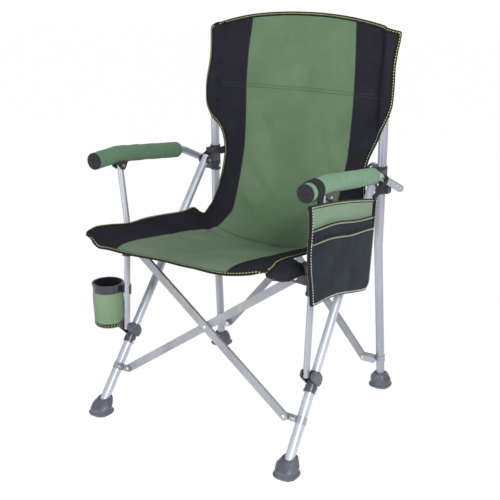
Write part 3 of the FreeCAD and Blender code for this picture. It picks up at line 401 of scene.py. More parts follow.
GREEN = woven("canvas_green", "#536f52", "#829c7a", sheen=0.12)
BLACK = woven("canvas_black", "#1c1c23", "#393842", sheen=0.0, specular=0.1)
TAPE = woven("binding_black", "#101014", "#26252c", thread=1.1, sheen=0.05)
LIME = woven("thread_lime", "#b9c964", "#e2ee96", thread=0.6, cloth=False, rough=0.6, fleck=0.2)
DARK_THREAD = woven("thread_dark_green", "#2b3a2d", "#3f5642", thread=0.6, cloth=False, fleck=0.2)
PALE_THREAD = woven("thread_pale_green", "#c6d4c0", "#f0f6ec", thread=0.6, cloth=False, fleck=0.2)
PAD_GREEN = woven("pad_green", "#50775a", "#7b9f7f", thread=2.0, sheen=0.15)
# Lighter copy of the pad green for the right pad: painted light, for the side nearer the key lamp.
PAD_GREEN_LIT = woven("pad_green_painted_light", "#5f8b69", "#8db191", thread=2.0, sheen=0.15)
MOTTLED = woven("pad_end_black", "#121216", "#44444e", thread=1.4, sheen=0.1, fleck=0.9)
# Cup bag green: the canvas green made lighter, painted light for its front that faces the lamps.
CUP_GREEN_LIT = woven("cup_green_painted_light", "#6e8b6b", "#a0b896", thread=1.3, sheen=0.2)
# Pocket panel green: the canvas green made lighter, painted light for the panel that faces the key lamp.
POCKET_GREEN_LIT = woven("pocket_green", "#668765", "#8cab8a", thread=1.5)
POCKET_THREAD = woven("thread_pocket_green", "#9fb58a", "#cfdcb6", 0.6, cloth=False, rough=0.6, fleck=0.2)
NET = netting("pocket_net", "#12171d", "#333c47")
PAINT = coated("frame_paint", "#a4a7b2", "#c2c5ce", 0.5, 0.42)
LEG_PAINT = coated("leg_paint", "#bfc4d2", "#dde1ec", 0.45, 0.46)
BAR_PAINT = coated("bar_paint", "#95969d", "#b2b4ba", 0.45, 0.56, height=0.0000001, wear=0.0)
STEEL = coated("rivet_steel", "#c4c4c8", "#f0f0f2", 1.0, 0.2, grain=1500.0, height=0.000008, wear=0.15)
PLASTIC = moulded("plastic_black", "#2b2a31", "#44434d", 0.42)
GREY_PLASTIC = moulded("plastic_grey", "#44464f", "#60646f", 0.3)
GLOSS = moulded("plastic_gloss", "#22242c", "#343742", 0.2, grain=300.0, height=0.00003, coat=0.6)
RUBBER = moulded("foot_rubber", "#50545d", "#6e727c", 0.42, grain=600.0, height=0.00012, edge=0.0015)


def coat_node(obj, material):
    """The material in each of a CAD node's slots, with its mesh left alone."""
    for held in obj.material_slots:
        held.link = "OBJECT"
        held.material = material


BY_SLOT = {"frame_paint": PAINT, "rivet_steel": STEEL, "black_plastic": PLASTIC, "gloss_black": GLOSS,
           "foot_rubber": RUBBER, "sling_fabric": BLACK, "pad_fabric": PAD_GREEN, "pocket_fabric": NET}
BY_NAME = {"leg_slider": GREY_PLASTIC, "leg_stop_collar": GREY_PLASTIC, "corner_rod": PLASTIC,
           "front_leg": LEG_PAINT, "front_bar": BAR_PAINT, "rear_bar": BAR_PAINT, "bar_link": BAR_PAINT}
for node_name, node in frame["nodes"].items():
    held = [s.material.name for s in node.material_slots if s.material]
    by_slot = next((BY_SLOT[k] for k in BY_SLOT if any(k in h for h in held)), PAINT)
    coat_node(node, next((BY_NAME[k] for k in BY_NAME if node_name.startswith(k)), by_slot))


def dress(obj, material, body, squash_to=None):
    """The piece's finish and the body it moves with."""
    if material is not None:
        obj.data.materials.clear()
        obj.data.materials.append(material)
    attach(obj, body)
    if squash_to is not None:
        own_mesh(obj)
    return obj


# -------------------------------- the sling's shape
# Each row: half width left and right, (y, z) at the edge, at the colour seam and in the middle, then the
# colour seam's distance from the middle, left and right. The back runs down and the seat runs forwards.
BACK_ROWS = [
    (279, 297, -21, 992, 1, 1019, 12, 1029, 158, 158), (276, 293, -25, 958, -3, 981, 8, 990, 161, 160),
    (274, 290, -31, 905, -10, 927, 2, 935, 166, 164), (279, 291, -34, 868, -14, 886, -3, 893, 168, 166),
    (288, 291, -38, 825, -18, 844, -7, 850, 169, 167), (292, 289, -39, 803, -20, 820, -9, 826, 169, 167),
    (290, 281, -40, 775, -22, 792, -12, 797, 168, 167),
    (270, 265, -42, 739, -25, 755, -16, 760, 167, 166),
    (242, 247, -44, 701, -29, 714, -20, 719, 166, 165),
    (226, 227, -47, 650, -37, 657, -32, 660, 164, 163),
    (227, 227, -53, 600, -56, 600, -52, 600, 162, 161),
    (237, 237, -66, 535, -87, 530, -84, 530, 159, 159),
    (250, 250, -82, 482, -122, 480, -118, 470, 157, 157),
    (256, 256, -90, 465, -158, 463, -138, 441, 156, 156),
    (262, 262, -98, 452, -192, 454, -158, 412, 156, 156)]
SEAT_ROWS = [
    BACK_ROWS[-1], (262, 262, -122, 462, -215, 456, -185, 425, 156, 156),
    (262, 262, -155, 484, -250, 460, -222, 434, 156, 156),
    (261, 261, -203, 486, -290, 467, -265, 444, 156, 156),
    (262, 262, -277, 495, -350, 477, -330, 460, 156, 155),
    (263, 254, -377, 505, -420, 488, -405, 473, 158, 155),
    (265, 242, -445, 508, -480, 496, -470, 482, 160, 154),
    (284, 238, -500, 513, -540, 503, -530, 491, 162, 153),
    (302, 245, -545, 513, -590, 503, -580, 494, 165, 153),
    (309, 253, -575, 506, -617, 496, -608, 493, 166, 152)]
EDGE_COLUMNS, GREEN_COLUMNS = 16, 45
CLOTH_THICK = 1.6
WRAP_FROM, WRAP_BLEND, WRAP_REACH = 700.0, 14.0, 14.9  # from which height the back lies on its posts


def sling_grid(rows, step=7.0):
    """Points of a sling panel. Columns keep to the colour seams at a fixed distance from the middle."""
    rows = np.array(rows, float)
    run = (lengths(rows[:, 2:4]) + lengths(rows[:, 4:6]) + lengths(rows[:, 6:8])) / 3
    at = np.linspace(0, run[-1], int(run[-1] / step) + 1)
    table = flowing(run, rows, at)
    share = np.linspace(0, 1, EDGE_COLUMNS + 1)[1:]
    points = []
    for row in table:
        edge, seam, middle = row[2:4], row[4:6], row[6:8]
        left, right = (start + (reach - start) * share for reach, start in zip(row[:2], row[8:]))
        x = np.concatenate([-left[::-1], np.linspace(-row[8], row[9], GREEN_COLUMNS), right])
        hx = np.where(x < 0, row[0], row[1])[:, None]
        t = (x[:, None] / hx) ** 2
        seam_t = (np.where(x < 0, row[8], row[9])[:, None] / hx) ** 2
        fourth = (seam - middle - (edge - middle) * seam_t) / (seam_t ** 2 - seam_t)
        points.append(np.column_stack([x, middle + (edge - middle - fourth) * t + fourth * t ** 2]))
    return np.array(points)


def grid_normals(points):
    """Normals of a table of points. On a sling panel they point to its rear and under side."""
    return unit(np.cross(np.gradient(points, axis=1), np.gradient(points, axis=0)))


def post_front(z):
    """y of the post's axis at a height."""
    top_y, top_z = POST_TOP
    rise = np.clip((z - POST_BEND_Z) / (top_z - POST_BEND_Z), 0, 1.3)
    return POST_Y + (top_y - POST_Y) * rise


def over_posts(points):
    """The cloth lies over the front of the posts, and tapers off past their outer side."""
    x, y, z = (points[..., k] for k in range(3))
    past = np.abs(x) - POST_X
    off = np.where(past > 0, past * 0.55, -past)
    front = post_front(z) - np.sqrt(np.maximum(WRAP_REACH ** 2 - off ** 2, 0))
    weight = np.clip((z - WRAP_FROM) / WRAP_BLEND, 0, 1)
    lifted = np.minimum(y, y * (1 - weight) + front * weight)
    points[..., 1] = np.where(off < WRAP_REACH, lifted, y)
    return points


def round_corners(points, rows, cuts):
    """Rounds a panel's two corners: the rows, the end row first, are pulled in by the left and right cut."""
    for k, r in enumerate(rows):
        bow = 1 - math.sqrt(1 - (1 - k / len(rows)) ** 2)
        x = points[r, :, 0]
        outer = np.clip((np.abs(x) - SEAM_X) / (np.where(x < 0, -x[0], x[-1]) - SEAM_X), 0, 1)
        points[r, :, 0] = x - np.sign(x) * np.where(x < 0, *cuts) * bow * outer
    return points


def pulls(points, lines, up=2):
    """Long soft folds: each line is (x, z) to (x, z) across the front view, its height and its width.
    With up=1 the lines are (x, y), as seen from above."""
    total = np.zeros(points.shape[:-1])
    flat = points[..., [0, up]]
    for start, end, height, width in lines:
        start, end = np.array(start, float), np.array(end, float)
        run = np.linalg.norm(end - start)
        ahead = (end - start) / run
        along = (flat - start) @ ahead
        off = (flat - start) @ np.array([-ahead[1], ahead[0]])
        fade = np.sin(np.clip(along / run, 0, 1) * math.pi) ** 0.6
        total += height * np.exp(-(off / width) ** 2) * fade
    return total


def raised(points, heights):
    """The points moved along their normals."""
    return points + grid_normals(points) * heights[..., None]


def fading(count, start, end):
    """A share for each row, from 0 at one share of the panel's length to 1 at another."""
    return np.clip((np.linspace(0, 1, count) - start) / (end - start), 0, 1)[:, None]


# Each fold: from, to, height, width.
BACK_PULLS = [
    ((170, 660), (-150, 480), 8.0, 14), ((165, 600), (-130, 452), -8.0, 13),
    ((160, 540), (10, 430), 6.0, 10), ((-150, 620), (-30, 500), 6.0, 13),
    ((-158, 560), (-60, 470), -5.0, 11), ((60, 730), (140, 560), 4.0, 15),
    ((-130, 780), (-40, 560), 4.0, 20), ((240, 800), (170, 690), 3.5, 10),
    ((-250, 790), (-175, 690), 3.5, 10)]
SEAT_PULLS = [
    ((-190, -232), (180, -196), 7.0, 12), ((-170, -262), (60, -250), -4.0, 10),
    ((0, -300), (170, -250), 4.0, 14), ((-160, -420), (-60, -300), 3.5, 18),
    ((100, -560), (150, -380), 3.0, 16)]

DROOP_X, DROOP_WIDTH, DROOP = -236.0, 30.0, 7.0


def shape_back():
    """The back with its folds, most of them low down where it turns into the seat."""
    points = sling_grid(BACK_ROWS)
    points = raised(points, ripple(points, (120, 120, 260), 1.5, 1))
    points = raised(points, pulls(points, BACK_PULLS))
    low = fading(len(points), 0.72, 1)
    folds = ripple(points, (60, 80, 110), 3.2, 5) + crumple(points, (70, 90, 34), 5.0, 9)
    points = raised(points, crumple(points, (150, 90, 60), 1.6, 15) * np.clip(low * 3, 0, 1))
    points = raised(points, folds * low)
    return over_posts(round_corners(points, range(3), (15.0, 3.0)))


def shape_seat():
    """The seat with its folds, joined to the back, its front edge hanging a little at the left."""
    points = sling_grid(SEAT_ROWS)
    n = len(points)
    waves = ripple(points, (110, 170, 120), 2.6, 2)
    waves += crumple(points, (46, 120, 80), 4.5, 12) * fading(n, 0.5, 0)
    points = raised(points, (waves + pulls(points, SEAT_PULLS, up=1)) * fading(n, 0, 0.06))
    points[..., 2] -= DROOP * fading(n, 0.88, 1) * np.exp(-((points[..., 0] - DROOP_X) / DROOP_WIDTH) ** 2)
    points[0] = back[-1]
    points = round_corners(points, range(n - 1, n - 9, -1), (28.0, 0.0))
    return round_corners(points, range(n - 1, n - 5, -1), (0.0, 16.0))


back = shape_back()
seat = shape_seat()


def sling_panel(name, points):
    """The green middle and black sides as one cloth, in two colours."""
    obj = grid(name, points)
    obj.data.flip_normals()
    obj.data.materials.append(GREEN)
    obj.data.materials.append(BLACK)
    across = points.shape[1] - 1
    green = range(EDGE_COLUMNS, EDGE_COLUMNS + GREEN_COLUMNS - 1)
    obj.data.polygons.foreach_set("material_index", [0 if k % across in green else 1
                                                     for k in range(len(obj.data.polygons))])
    return thicken(obj, CLOTH_THICK)


def outline_of(points, sides):
    """Border of a panel as one line, with the cloth's normals. Each side picks a row or a column."""
    normals = -grid_normals(points)
    line = np.concatenate([points[s] for s in sides])
    out = np.concatenate([normals[s] for s in sides])
    keep = np.concatenate([[True], np.linalg.norm(np.diff(line, axis=0), axis=1) > 0.5])
    return line[keep], out[keep]


FOLDED_TAPE = [
    (-1.4, 0.0), (-0.9, 1.5), (1.0, 2.3), (4.0, 2.1), (8.2, 1.9), (9.2, 1.1), (9.2, -2.4), (8.2, -3.0),
    (1.0, -3.2), (-0.9, -2.2)]

back_line, back_out = outline_of(back, [(slice(None, None, -1), 0), (0, slice(None)), (slice(None), -1)])
seat_line, seat_out = outline_of(seat, [(slice(None), 0), (-1, slice(None)), (slice(None, None, -1), -1)])


def binding(name, line, out, inward_sign):
    """The folded tape along a line, and its row of dashes."""
    line, out = even(line, 5.0, out)
    out = unit(out)
    profile = [(b * inward_sign, h) for b, h in FOLDED_TAPE]
    tape = strip(name, line, out, profile[::inward_sign])
    dashes = stitches(name + "_stitching", line, out, period=7.4, length=4.4, width=2.9, height=1.1,
                      inset=3.4 * inward_sign, lift=2.0)
    return tape, dashes


back_cloth = dress(sling_panel("back_cloth", back), None, "post_right", POST_X)
back_tape, back_dash = binding("back_binding", back_line, back_out, -1)
seat_cloth = dress(sling_panel("seat_cloth", seat), None, "seat", POST_X)
seat_tape, seat_dash = binding("seat_binding", seat_line, seat_out, 1)
for piece, material, body in ((back_tape, TAPE, "post_right"), (back_dash, LIME, "post_right"),
                              (seat_tape, TAPE, "seat"), (seat_dash, LIME, "seat")):
    dress(piece, material, body, POST_X)


def across_at(points, z):
    """The line where a panel is at a height, column by column, and the cloth's normals there."""
    tables = points[::-1], -grid_normals(points)[::-1]
    line, out = ([[np.interp(z, points[::-1, j, 2], table[:, j, k]) for k in range(3)]
                  for j in range(points.shape[1])] for table in tables)
    return np.array(line), unit(np.array(out))


CROSS_SEAMS, CROSS_SEAM_HALF, LAP_SHIFT = (830.0, 822.0), 252.0, 2.5


def cross_seams():
    """The double row of dark stitches across the back."""
    parts = []
    for z in CROSS_SEAMS:
        line, out = across_at(back[: len(back) // 2], z)
        inside = np.abs(line[:, 0]) < CROSS_SEAM_HALF
        parts.append(stitches("seam", line[inside], out[inside], period=4.0, length=3.2, width=1.1,
                              height=0.5, lift=0.2))
    return dress(joined("back_seams", *parts), DARK_THREAD, "post_right", POST_X)


def colour_seams(name, points, body):
    """Dark lap stitches beside the two colour seams."""
    normals = -grid_normals(points)
    parts = []
    for side, j in ((-1, EDGE_COLUMNS), (1, EDGE_COLUMNS + GREEN_COLUMNS - 1)):
        parts.append(stitches("seam", points[:, j] + [side * LAP_SHIFT, 0, 0], normals[:, j], period=4.2,
                              length=3.1, width=1.0, height=0.45, lift=0.2))
    return dress(joined(name, *parts), DARK_THREAD, body, POST_X)


back_seams = cross_seams()


HEM_REAR_Y, HEM_OUTER = -462.0, {1: 288.0, -1: 279.0}
HEM_PROFILE = [(0, -0.6), (0.3, -1.2), (0.6, -3.5), (0.86, -8), (0.98, -15), (1.0, -22), (0.96, -29)]


def hem_flap(side):
    """The seat's side turned down over the corner rod, from in front of the support tube to the corner.
    The profile is (share of the way out, drop). On the left it ends where the corner is rounded."""
    edge = seat[:, -1] if side > 0 else seat[:, 0]
    edge = even(edge[edge[:, 1] < HEM_REAR_Y], 5.0)
    share = np.linspace(0, 1, len(edge))
    full = np.sqrt(np.clip((1 - share) / 0.3, 0, 1)) * np.clip(0.35 + share / 0.2, 0, 1)
    if side < 0:
        full = full * np.clip((0.6 - share) / 0.25, 0, 1)
    rows = []
    for (x, y, z), f in zip(edge, full):
        reach = (HEM_OUTER[side] - abs(x)) * f
        rows.append([(side * (abs(x) - 1 + reach * out), y + 3 * (1 - f), z + drop * (0.45 + 0.55 * f))
                     for out, drop in HEM_PROFILE])
    rows = np.array(rows)
    rows += grid_normals(rows) * (ripple(rows, (40, 26, 40), 1.3, 60 + side) * full[:, None])[..., None]
    flap = thicken(soften(grid("seat_hem_" + LABEL[side], rows)), 1.3, 0.0)
    return dress(flap, BLACK, "seat", POST_X)


hems = [hem_flap(side) for side in (1, -1)]
back_lap = colour_seams("back_lap_seams", back, "post_right")
seat_lap = colour_seams("seat_lap_seams", seat, "seat")
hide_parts("back_sling")
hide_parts("seat_sling")


# -------------------------------- sleeves round the posts
SLEEVE_TOP, SLEEVE_R, SLEEVE_COLUMNS = 978.0, 13.9, 28
SLEEVE_END = [(981.5, 13.2), (984.0, 11.0), (985.5, 7.5), (986.2, 1.0)]


def post_sleeve(side):
    """Black tube of cloth round a post's upper part, closed over its end."""
    levels = [(z, SLEEVE_R) for z in np.linspace(SLEEVE_BOTTOM, SLEEVE_TOP, 34)] + SLEEVE_END
    turn = np.linspace(0, 2 * math.pi, SLEEVE_COLUMNS, endpoint=False)
    rows = np.array([np.stack([POST_X * side + r * np.cos(turn), post_front(z) + r * np.sin(turn),
                               np.full(SLEEVE_COLUMNS, z)], 1) for z, r in levels])
    out = unit(rows - rows.mean(1, keepdims=True))
    rows = rows + out * np.minimum(ripple(rows, (30, 30, 60), 0.5, 8 + side), 0.6)[..., None]
    return thicken(grid("post_sleeve_" + LABEL[side], rows, wrap=True), 1.2)


sleeves = [dress(post_sleeve(side), BLACK, "post_" + LABEL[side]) for side in (1, -1)]


# -------------------------------- arm pads
PAD_FRONT_Y, PAD_COLUMNS = -520.0, 48
PAD_RIM = [(19.6, 0.6), (18.4, 0.2), (17.6, -0.8)]  # radius, and how far it stands past the pad's end
PAD_END = [(21.4, -3.2), (21.7, -1.6), (21.2, 0.4), (19.6, 1.6), (17.6, 2.0), (15.5, 2.4), (12.0, 3.0),
           (8.5, 3.5), (5.5, 3.4), (4.2, 2.4), (3.4, 3.4), (1.6, 4.0), (0.2, 4.1)]
PLEATS, PLEAT = 13, 0.6


def arm_path(start, end, step=4.0):
    """The arm tube's line with its crest rounded, from y start to y end."""
    y = np.linspace(start, end, int(abs(end - start) / step) + 1)
    ys, zs = [p[0] for p in ARM_LINE][::-1], [p[1] for p in ARM_LINE][::-1]
    z = np.mean([np.interp(y + blur, ys, zs) for blur in np.linspace(-16, 16, 9)], 0)
    return np.stack([np.full(len(y), ARM_X), y, z], 1)


def pad_radius(run):
    """Radius along the pad: drawn in at the rear, and pinched by a seam before the front end."""
    ahead = run[-1] - run
    radius = (PAD_R + 0.6) * (0.6 + 0.4 * np.sin(np.clip(run / 16, 0, 1) * math.pi / 2))
    return radius - 1.5 * np.exp(-((ahead - 17) / 2.2) ** 2) - 1.4 * np.clip(1 - ahead / 3, 0, 1)


def pad_tables(side):
    """Points of the cover, whose front rolls over the end, and of the gathered end piece."""
    line = arm_path(PAD_REAR_Y, PAD_FRONT_Y, 3.0)
    run = lengths(line)
    along = tangents(line)
    up = unit(np.cross(along, np.broadcast_to(X_OUT, along.shape)))
    up = up * np.sign(up[:, 2:3])
    turn = np.linspace(0, 2 * math.pi, PAD_COLUMNS, endpoint=False)

    def ring(centre, lift, r):
        return centre + X_OUT * (r * np.cos(turn))[:, None] + lift * (r * np.sin(turn))[:, None]

    rows = np.array([ring(c, u, r) for c, u, r in zip(line, up, pad_radius(run))])
    out = unit(rows - line[:, None])
    waves = (ripple(rows, (60, 34, 60), 1.3, 20 + side) + ripple(rows, (26, 70, 26), 0.8, 30 + side)
             + ripple(rows, (90, 12, 90), 0.5, 36 + side))
    calm = (np.sin(np.clip(run / run[-1], 0, 1) * math.pi) ** 0.5)[:, None]
    rows = rows + out * np.minimum(waves * calm - 0.4, 0.5)[..., None]
    under_seam = 24.0 * np.clip(-out[..., 2] - 0.965, 0, 1)
    rows = rows - out * under_seam[..., None]
    rim = [ring(line[-1] + along[-1] * past, up[-1], r) for r, past in PAD_RIM]
    gathers = PLEAT * np.sin(turn * PLEATS + 0.6 * np.sin(turn * 3))
    cap = [ring(line[-1], up[-1], r) + along[-1] * (rise + gathers * min(1.0, r / 9))[:, None]
           for r, rise in PAD_END]
    return np.concatenate([rows, np.array(rim)]), np.array(cap)


def arm_pad(side):
    """Foam sleeve in a sewn cover, with its black end."""
    tables = pad_tables(side)
    if side < 0:
        tables = [(table * [-1, 1, 1])[:, ::-1] for table in tables]
    body = "arm_" + LABEL[side]
    cover, end = (grid(name + LABEL[side], table, wrap=True, capped=True)
                  for name, table in zip(("arm_pad_cover_", "arm_pad_end_"), tables))
    # The right pad's cover takes the lighter copy of the pad green: painted light.
    dress(cover, PAD_GREEN_LIT if side > 0 else PAD_GREEN, body)
    dress(end, MOTTLED, body)
    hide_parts("arm_pad_" + LABEL[side])


for side in (1, -1):
    arm_pad(side)


# -------------------------------- cup bag
CUP_COLUMNS, BAG_STEPS = 56, 60
BAG_OUTSIDE = [(RING_HIGH - 6, 37.4), (RING_LOW + 4, 37.6), (RING_LOW - 2, 39.6), (294, 40.4), (262, 40.6),
               (240, 39.6), (224, 38.2), (BAG_LOW + 8, 37.2), (BAG_LOW + 2, 35.2), (BAG_LOW, 30.0),
               (BAG_LOW, 1.5)]
BAG_LINING = [(RING_HIGH - 5.5, 35.6), (RING_HIGH - 16, 35.4), (RING_LOW, 35.6), (290, 38.0), (262, 38.0)]
BAG_TAPE = [(-4.5, -0.6), (-3.6, 1.0), (3.6, 1.4), (5.0, -0.2), (3.0, -2.0)]
BAG_TAPE_Z, BAG_TAPE_R = BAG_LOW + 9.0, 38.8


def cup_rows(levels):
    """Rings about the cup holder's axis. Each level is (height, radius)."""
    turn = np.linspace(0, 2 * math.pi, CUP_COLUMNS, endpoint=False)
    z, r = (np.array(levels)[:, k, None] for k in range(2))
    return np.stack([CUP_X + r * np.cos(turn), CUP_Y + r * np.sin(turn), z + 0 * turn], 2)


def from_cup_axis(points):
    """Level directions away from the cup holder's axis."""
    return unit(points * [1, 1, 0] - np.array([CUP_X, CUP_Y, 0]))


def cup_bag():
    """Green beaker that hangs in the ring, with a lining and a bound foot."""
    levels = np.array(BAG_OUTSIDE)
    run = lengths(levels)
    at = np.linspace(0, run[-1], BAG_STEPS)
    rows = cup_rows(np.stack([np.interp(at, run, levels[:, k]) for k in range(2)], 1))
    z = rows[..., 2]
    loose = np.clip((RING_LOW - z) / 20, 0, 1) * np.clip((z - BAG_LOW - 4) / 20, 0, 1)
    rows = rows + from_cup_axis(rows) * (ripple(rows, (36, 36, 60), 1.8, 41) * loose)[..., None]
    bag = thicken(grid("cup_bag_cloth", rows, wrap=True), 1.4)
    # The bag's lighter green is painted light.
    dress(bag, CUP_GREEN_LIT, "support_left")
    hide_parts("cup_bag")
    ring = cup_rows([(BAG_TAPE_Z, BAG_TAPE_R)])[0]
    ring = np.concatenate([ring, ring[:1]])
    foot = strip("cup_bag_binding", ring, from_cup_axis(ring), BAG_TAPE)
    dash = stitches("cup_bag_stitching", ring, from_cup_axis(ring), period=8.1, length=4.4, width=2.6,
                    inset=0.5, lift=1.3)
    lining = thicken(grid("cup_lining", cup_rows(BAG_LINING), wrap=True), 0.6)
    for piece, material in ((foot, TAPE), (dash, LIME), (lining, TAPE)):
        dress(piece, material, "support_left")
    return bag, foot, dash, lining


bag, bag_foot, bag_dash, bag_lining = cup_bag()


# -------------------------------- side pocket
def pocket_point(share, down):
    """A point of the pocket's outline: share 0 at the front edge to 1 at the rear, down from the top edge."""
    v, front, arch = down / POCKET_DEPTH, 1 - share, math.sin(share * math.pi)
    depth = POCKET_DEPTH + 6 * front ** 3 - 14 * arch ** 2 * front
    y = POCKET_Y[0] + (POCKET_Y[1] - POCKET_Y[0]) * share - POCKET_LEAN * v * share
    y += POCKET_WAVE * math.sin(v * 9.0 + 2.2 * share) * front ** 2 + 12 * v ** 3 * front ** 3
    z = POCKET_TOP[0] + (POCKET_TOP[1] - POCKET_TOP[0]) * share - v * depth + 5 * arch * (1 - v)
    corner = max(0.0, share - 0.93) / 0.07 * max(0.0, v - 0.9) / 0.1
    return y - 8 * corner ** 2, z + 9 * corner ** 2


def pocket_sheet(x_low, bulge, top, seed, wave=0.0, n=46, m=40):
    """Points of a panel or pouch face, from its top edge down to the pocket's bottom."""
    rows = []
    for v in np.linspace(0, 1, n):
        row = []
        for share in np.linspace(0, 1, m):
            start = top[0] + (top[1] - top[0]) * share + wave * math.sin(share * 9.4 + seed)
            y, z = pocket_point(share, start + (POCKET_DEPTH - start) * v)
            row.append((x_low + bulge * (1 - abs(2 * share - 1) ** 5) * (1 - v ** 7), y, z))
        rows.append(row)
    rows = np.array(rows)
    rows[..., 0] += ripple(rows, (50, 70, 55), 1.0 if bulge else 0.5, seed)
    return rows


panel = pocket_sheet(POCKET_X + 0.8, 0.0, (0.0, 0.0), 51)
inner = pocket_sheet(POCKET_X + 3.2, 5.4, MOUTH_INNER, 52, wave=2.0)
outer = pocket_sheet(POCKET_X + 5.0, 10.0, MOUTH_OUTER, 53, wave=3.0)
# The pocket panel's lighter green is painted light.
pocket_cloths = [dress(thicken(grid(name, rows), 1.2, 0.0), material, "arm_right")
                 for name, rows, material in (("pocket_panel", panel, POCKET_GREEN_LIT),
                                              ("pocket_inner_pouch", inner, NET),
                                              ("pocket_outer_pouch", outer, NET))]
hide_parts("side_pocket")

SMALL_TAPE = [(-1.0, 0.0), (-0.6, 1.2), (1.0, 1.9), (7.0, 1.6), (7.8, 0.8), (7.8, -1.2), (1.0, -1.8),
              (-0.6, -1.2)]
THICK_TAPE = [(-1.2, 0.0), (-0.8, 2.6), (1.0, 4.2), (7.0, 4.0), (8.0, 2.0), (8.0, -3.6), (1.0, -4.4),
              (-0.8, -2.6)]


def pocket_tape(name, line, thread, flip=1, profile=SMALL_TAPE, lift=1.8):
    """A binding along one of the pocket's edges, and its dashes."""
    line = even(line, 5.0)
    out = np.broadcast_to(X_OUT, line.shape).copy()
    tape = strip(name, line, out, [(b * flip, h) for b, h in profile][::flip])
    dash = stitches(name + "_stitching", line, out, period=6.6, length=3.6, width=3.6, height=1.3,
                    inset=3.8 * flip, lift=lift)
    dress(tape, TAPE, "arm_right")
    dress(dash, thread, "arm_right")
    return tape, dash


pocket_trim = []
for name, rows in (("pocket_top_binding", panel), ("pocket_inner_binding", inner),
                   ("pocket_outer_binding", outer)):
    pocket_trim += pocket_tape(name, rows[0], POCKET_THREAD, flip=-1)
border = np.concatenate([panel[:, 0], panel[-1, 1:], panel[::-1, -1][1:]]) + [3.4, 0, 0]
pocket_trim += pocket_tape("pocket_edge_binding", border, PALE_THREAD, profile=THICK_TAPE, lift=4.1)


def pocket_loop(name, y, radius, half, tail):
    """Band of tape round the arm rest at y, with a tail down to the pocket's panel."""
    centre = arm_path(y + 1, y - 1, 1.0)[1]
    rear, front = arm_path(y + 6, y - 6, 12.0)
    along = unit(front - rear)
    turn = np.linspace(math.radians(-40), math.radians(290), 40)
    up = np.cross(X_OUT, along)
    up = up * np.sign(up[2])
    rows = [[centre + along * shift + X_OUT * radius * math.cos(a) + up * radius * math.sin(a)
             for a in turn] for shift in np.linspace(-half, half, 9)]
    band, strap = thicken(grid("band", rows), 1.2, 0.0), thicken(grid("tail", tail), 1.1, 0.0)
    return dress(joined(name, band, strap), TAPE, "arm_right")


def tail_between(start, end, half):
    """A flat strap from one point to another, hanging a little, half wide each side."""
    start, end = np.array(start, float), np.array(end, float)
    across = unit(np.cross(end - start, X_OUT))
    rows = []
    for t in np.linspace(0, 1, 12):
        middle = start + (end - start) * t + [0, 0, -4 * math.sin(math.pi * t)]
        rows.append([middle + across * s for s in np.linspace(-half, half, 7)])
    return rows


LOOP_FRONT_Y, LOOP_REAR_Y = -486.0, -116.0
LOOP_REAR_R, LOOP_REAR_X = 11.4, 318.0


def pocket_loops():
    """The wide loop round the front of the arm pad and the narrow one round the bare tube behind it."""
    front_z, rear_z = (arm_path(y + 1, y - 1, 1.0)[1][2] for y in (LOOP_FRONT_Y, LOOP_REAR_Y))
    behind, corner = POCKET_X - 1.6, (POCKET_X + 2.2, POCKET_Y[1] - 14, POCKET_TOP[1] + 4)
    front = tail_between((behind, LOOP_FRONT_Y, front_z - 8), (behind, LOOP_FRONT_Y - 4, front_z - 50), 14)
    rear = tail_between((LOOP_REAR_X, LOOP_REAR_Y, rear_z), corner, 8)
    return [pocket_loop("pocket_loop_front", LOOP_FRONT_Y, PAD_R + 1.9, 15.0, front),
            pocket_loop("pocket_loop_rear", LOOP_REAR_Y, LOOP_REAR_R, 12.0, rear)]


loops = pocket_loops()

# -------------------------------- boots
# Each level: height, half width in x and y, squareness of its outline, share of the leg's lean.
BOOT_LEVELS = [
    (0.0, 1.0, 1.0, 2.0, 0), (0.0, 28.6, 28.8, 2.7, 0), (1.2, 30.2, 30.4, 2.7, 0),
    (4.0, 31.0, 31.0, 2.7, 0), (6.6, 30.6, 30.7, 2.7, 0), (8.2, 28.6, 29.0, 2.7, 0),
    (8.8, 26.4, 27.0, 2.7, 0), (11.0, 26.2, 26.8, 2.7, 0), (15.0, 26.0, 26.6, 2.7, 0.7),
    (20.0, 25.4, 26.0, 2.7, 1), (25.0, 24.2, 24.9, 2.7, 1), (30.0, 22.4, 23.4, 2.6, 1),
    (34.5, 20.4, 21.6, 2.5, 1), (38.0, 18.2, 19.8, 2.4, 1), (39.8, 16.4, 18.2, 2.2, 1)]
SOCKET_LEVELS = [(39.6, 1.2), (38.0, 0.3), (30.0, 0.0)]  # height, and how far the mouth flares
RIB, RIBS, RIB_FROM, RIB_TO = 0.35, 36, 2.0, 7.0
LOBE, LOBE_Z, LOBE_HALF = 6.2, 24.0, 8.5
CREST, CREST_FROM = 2.4, 30.0


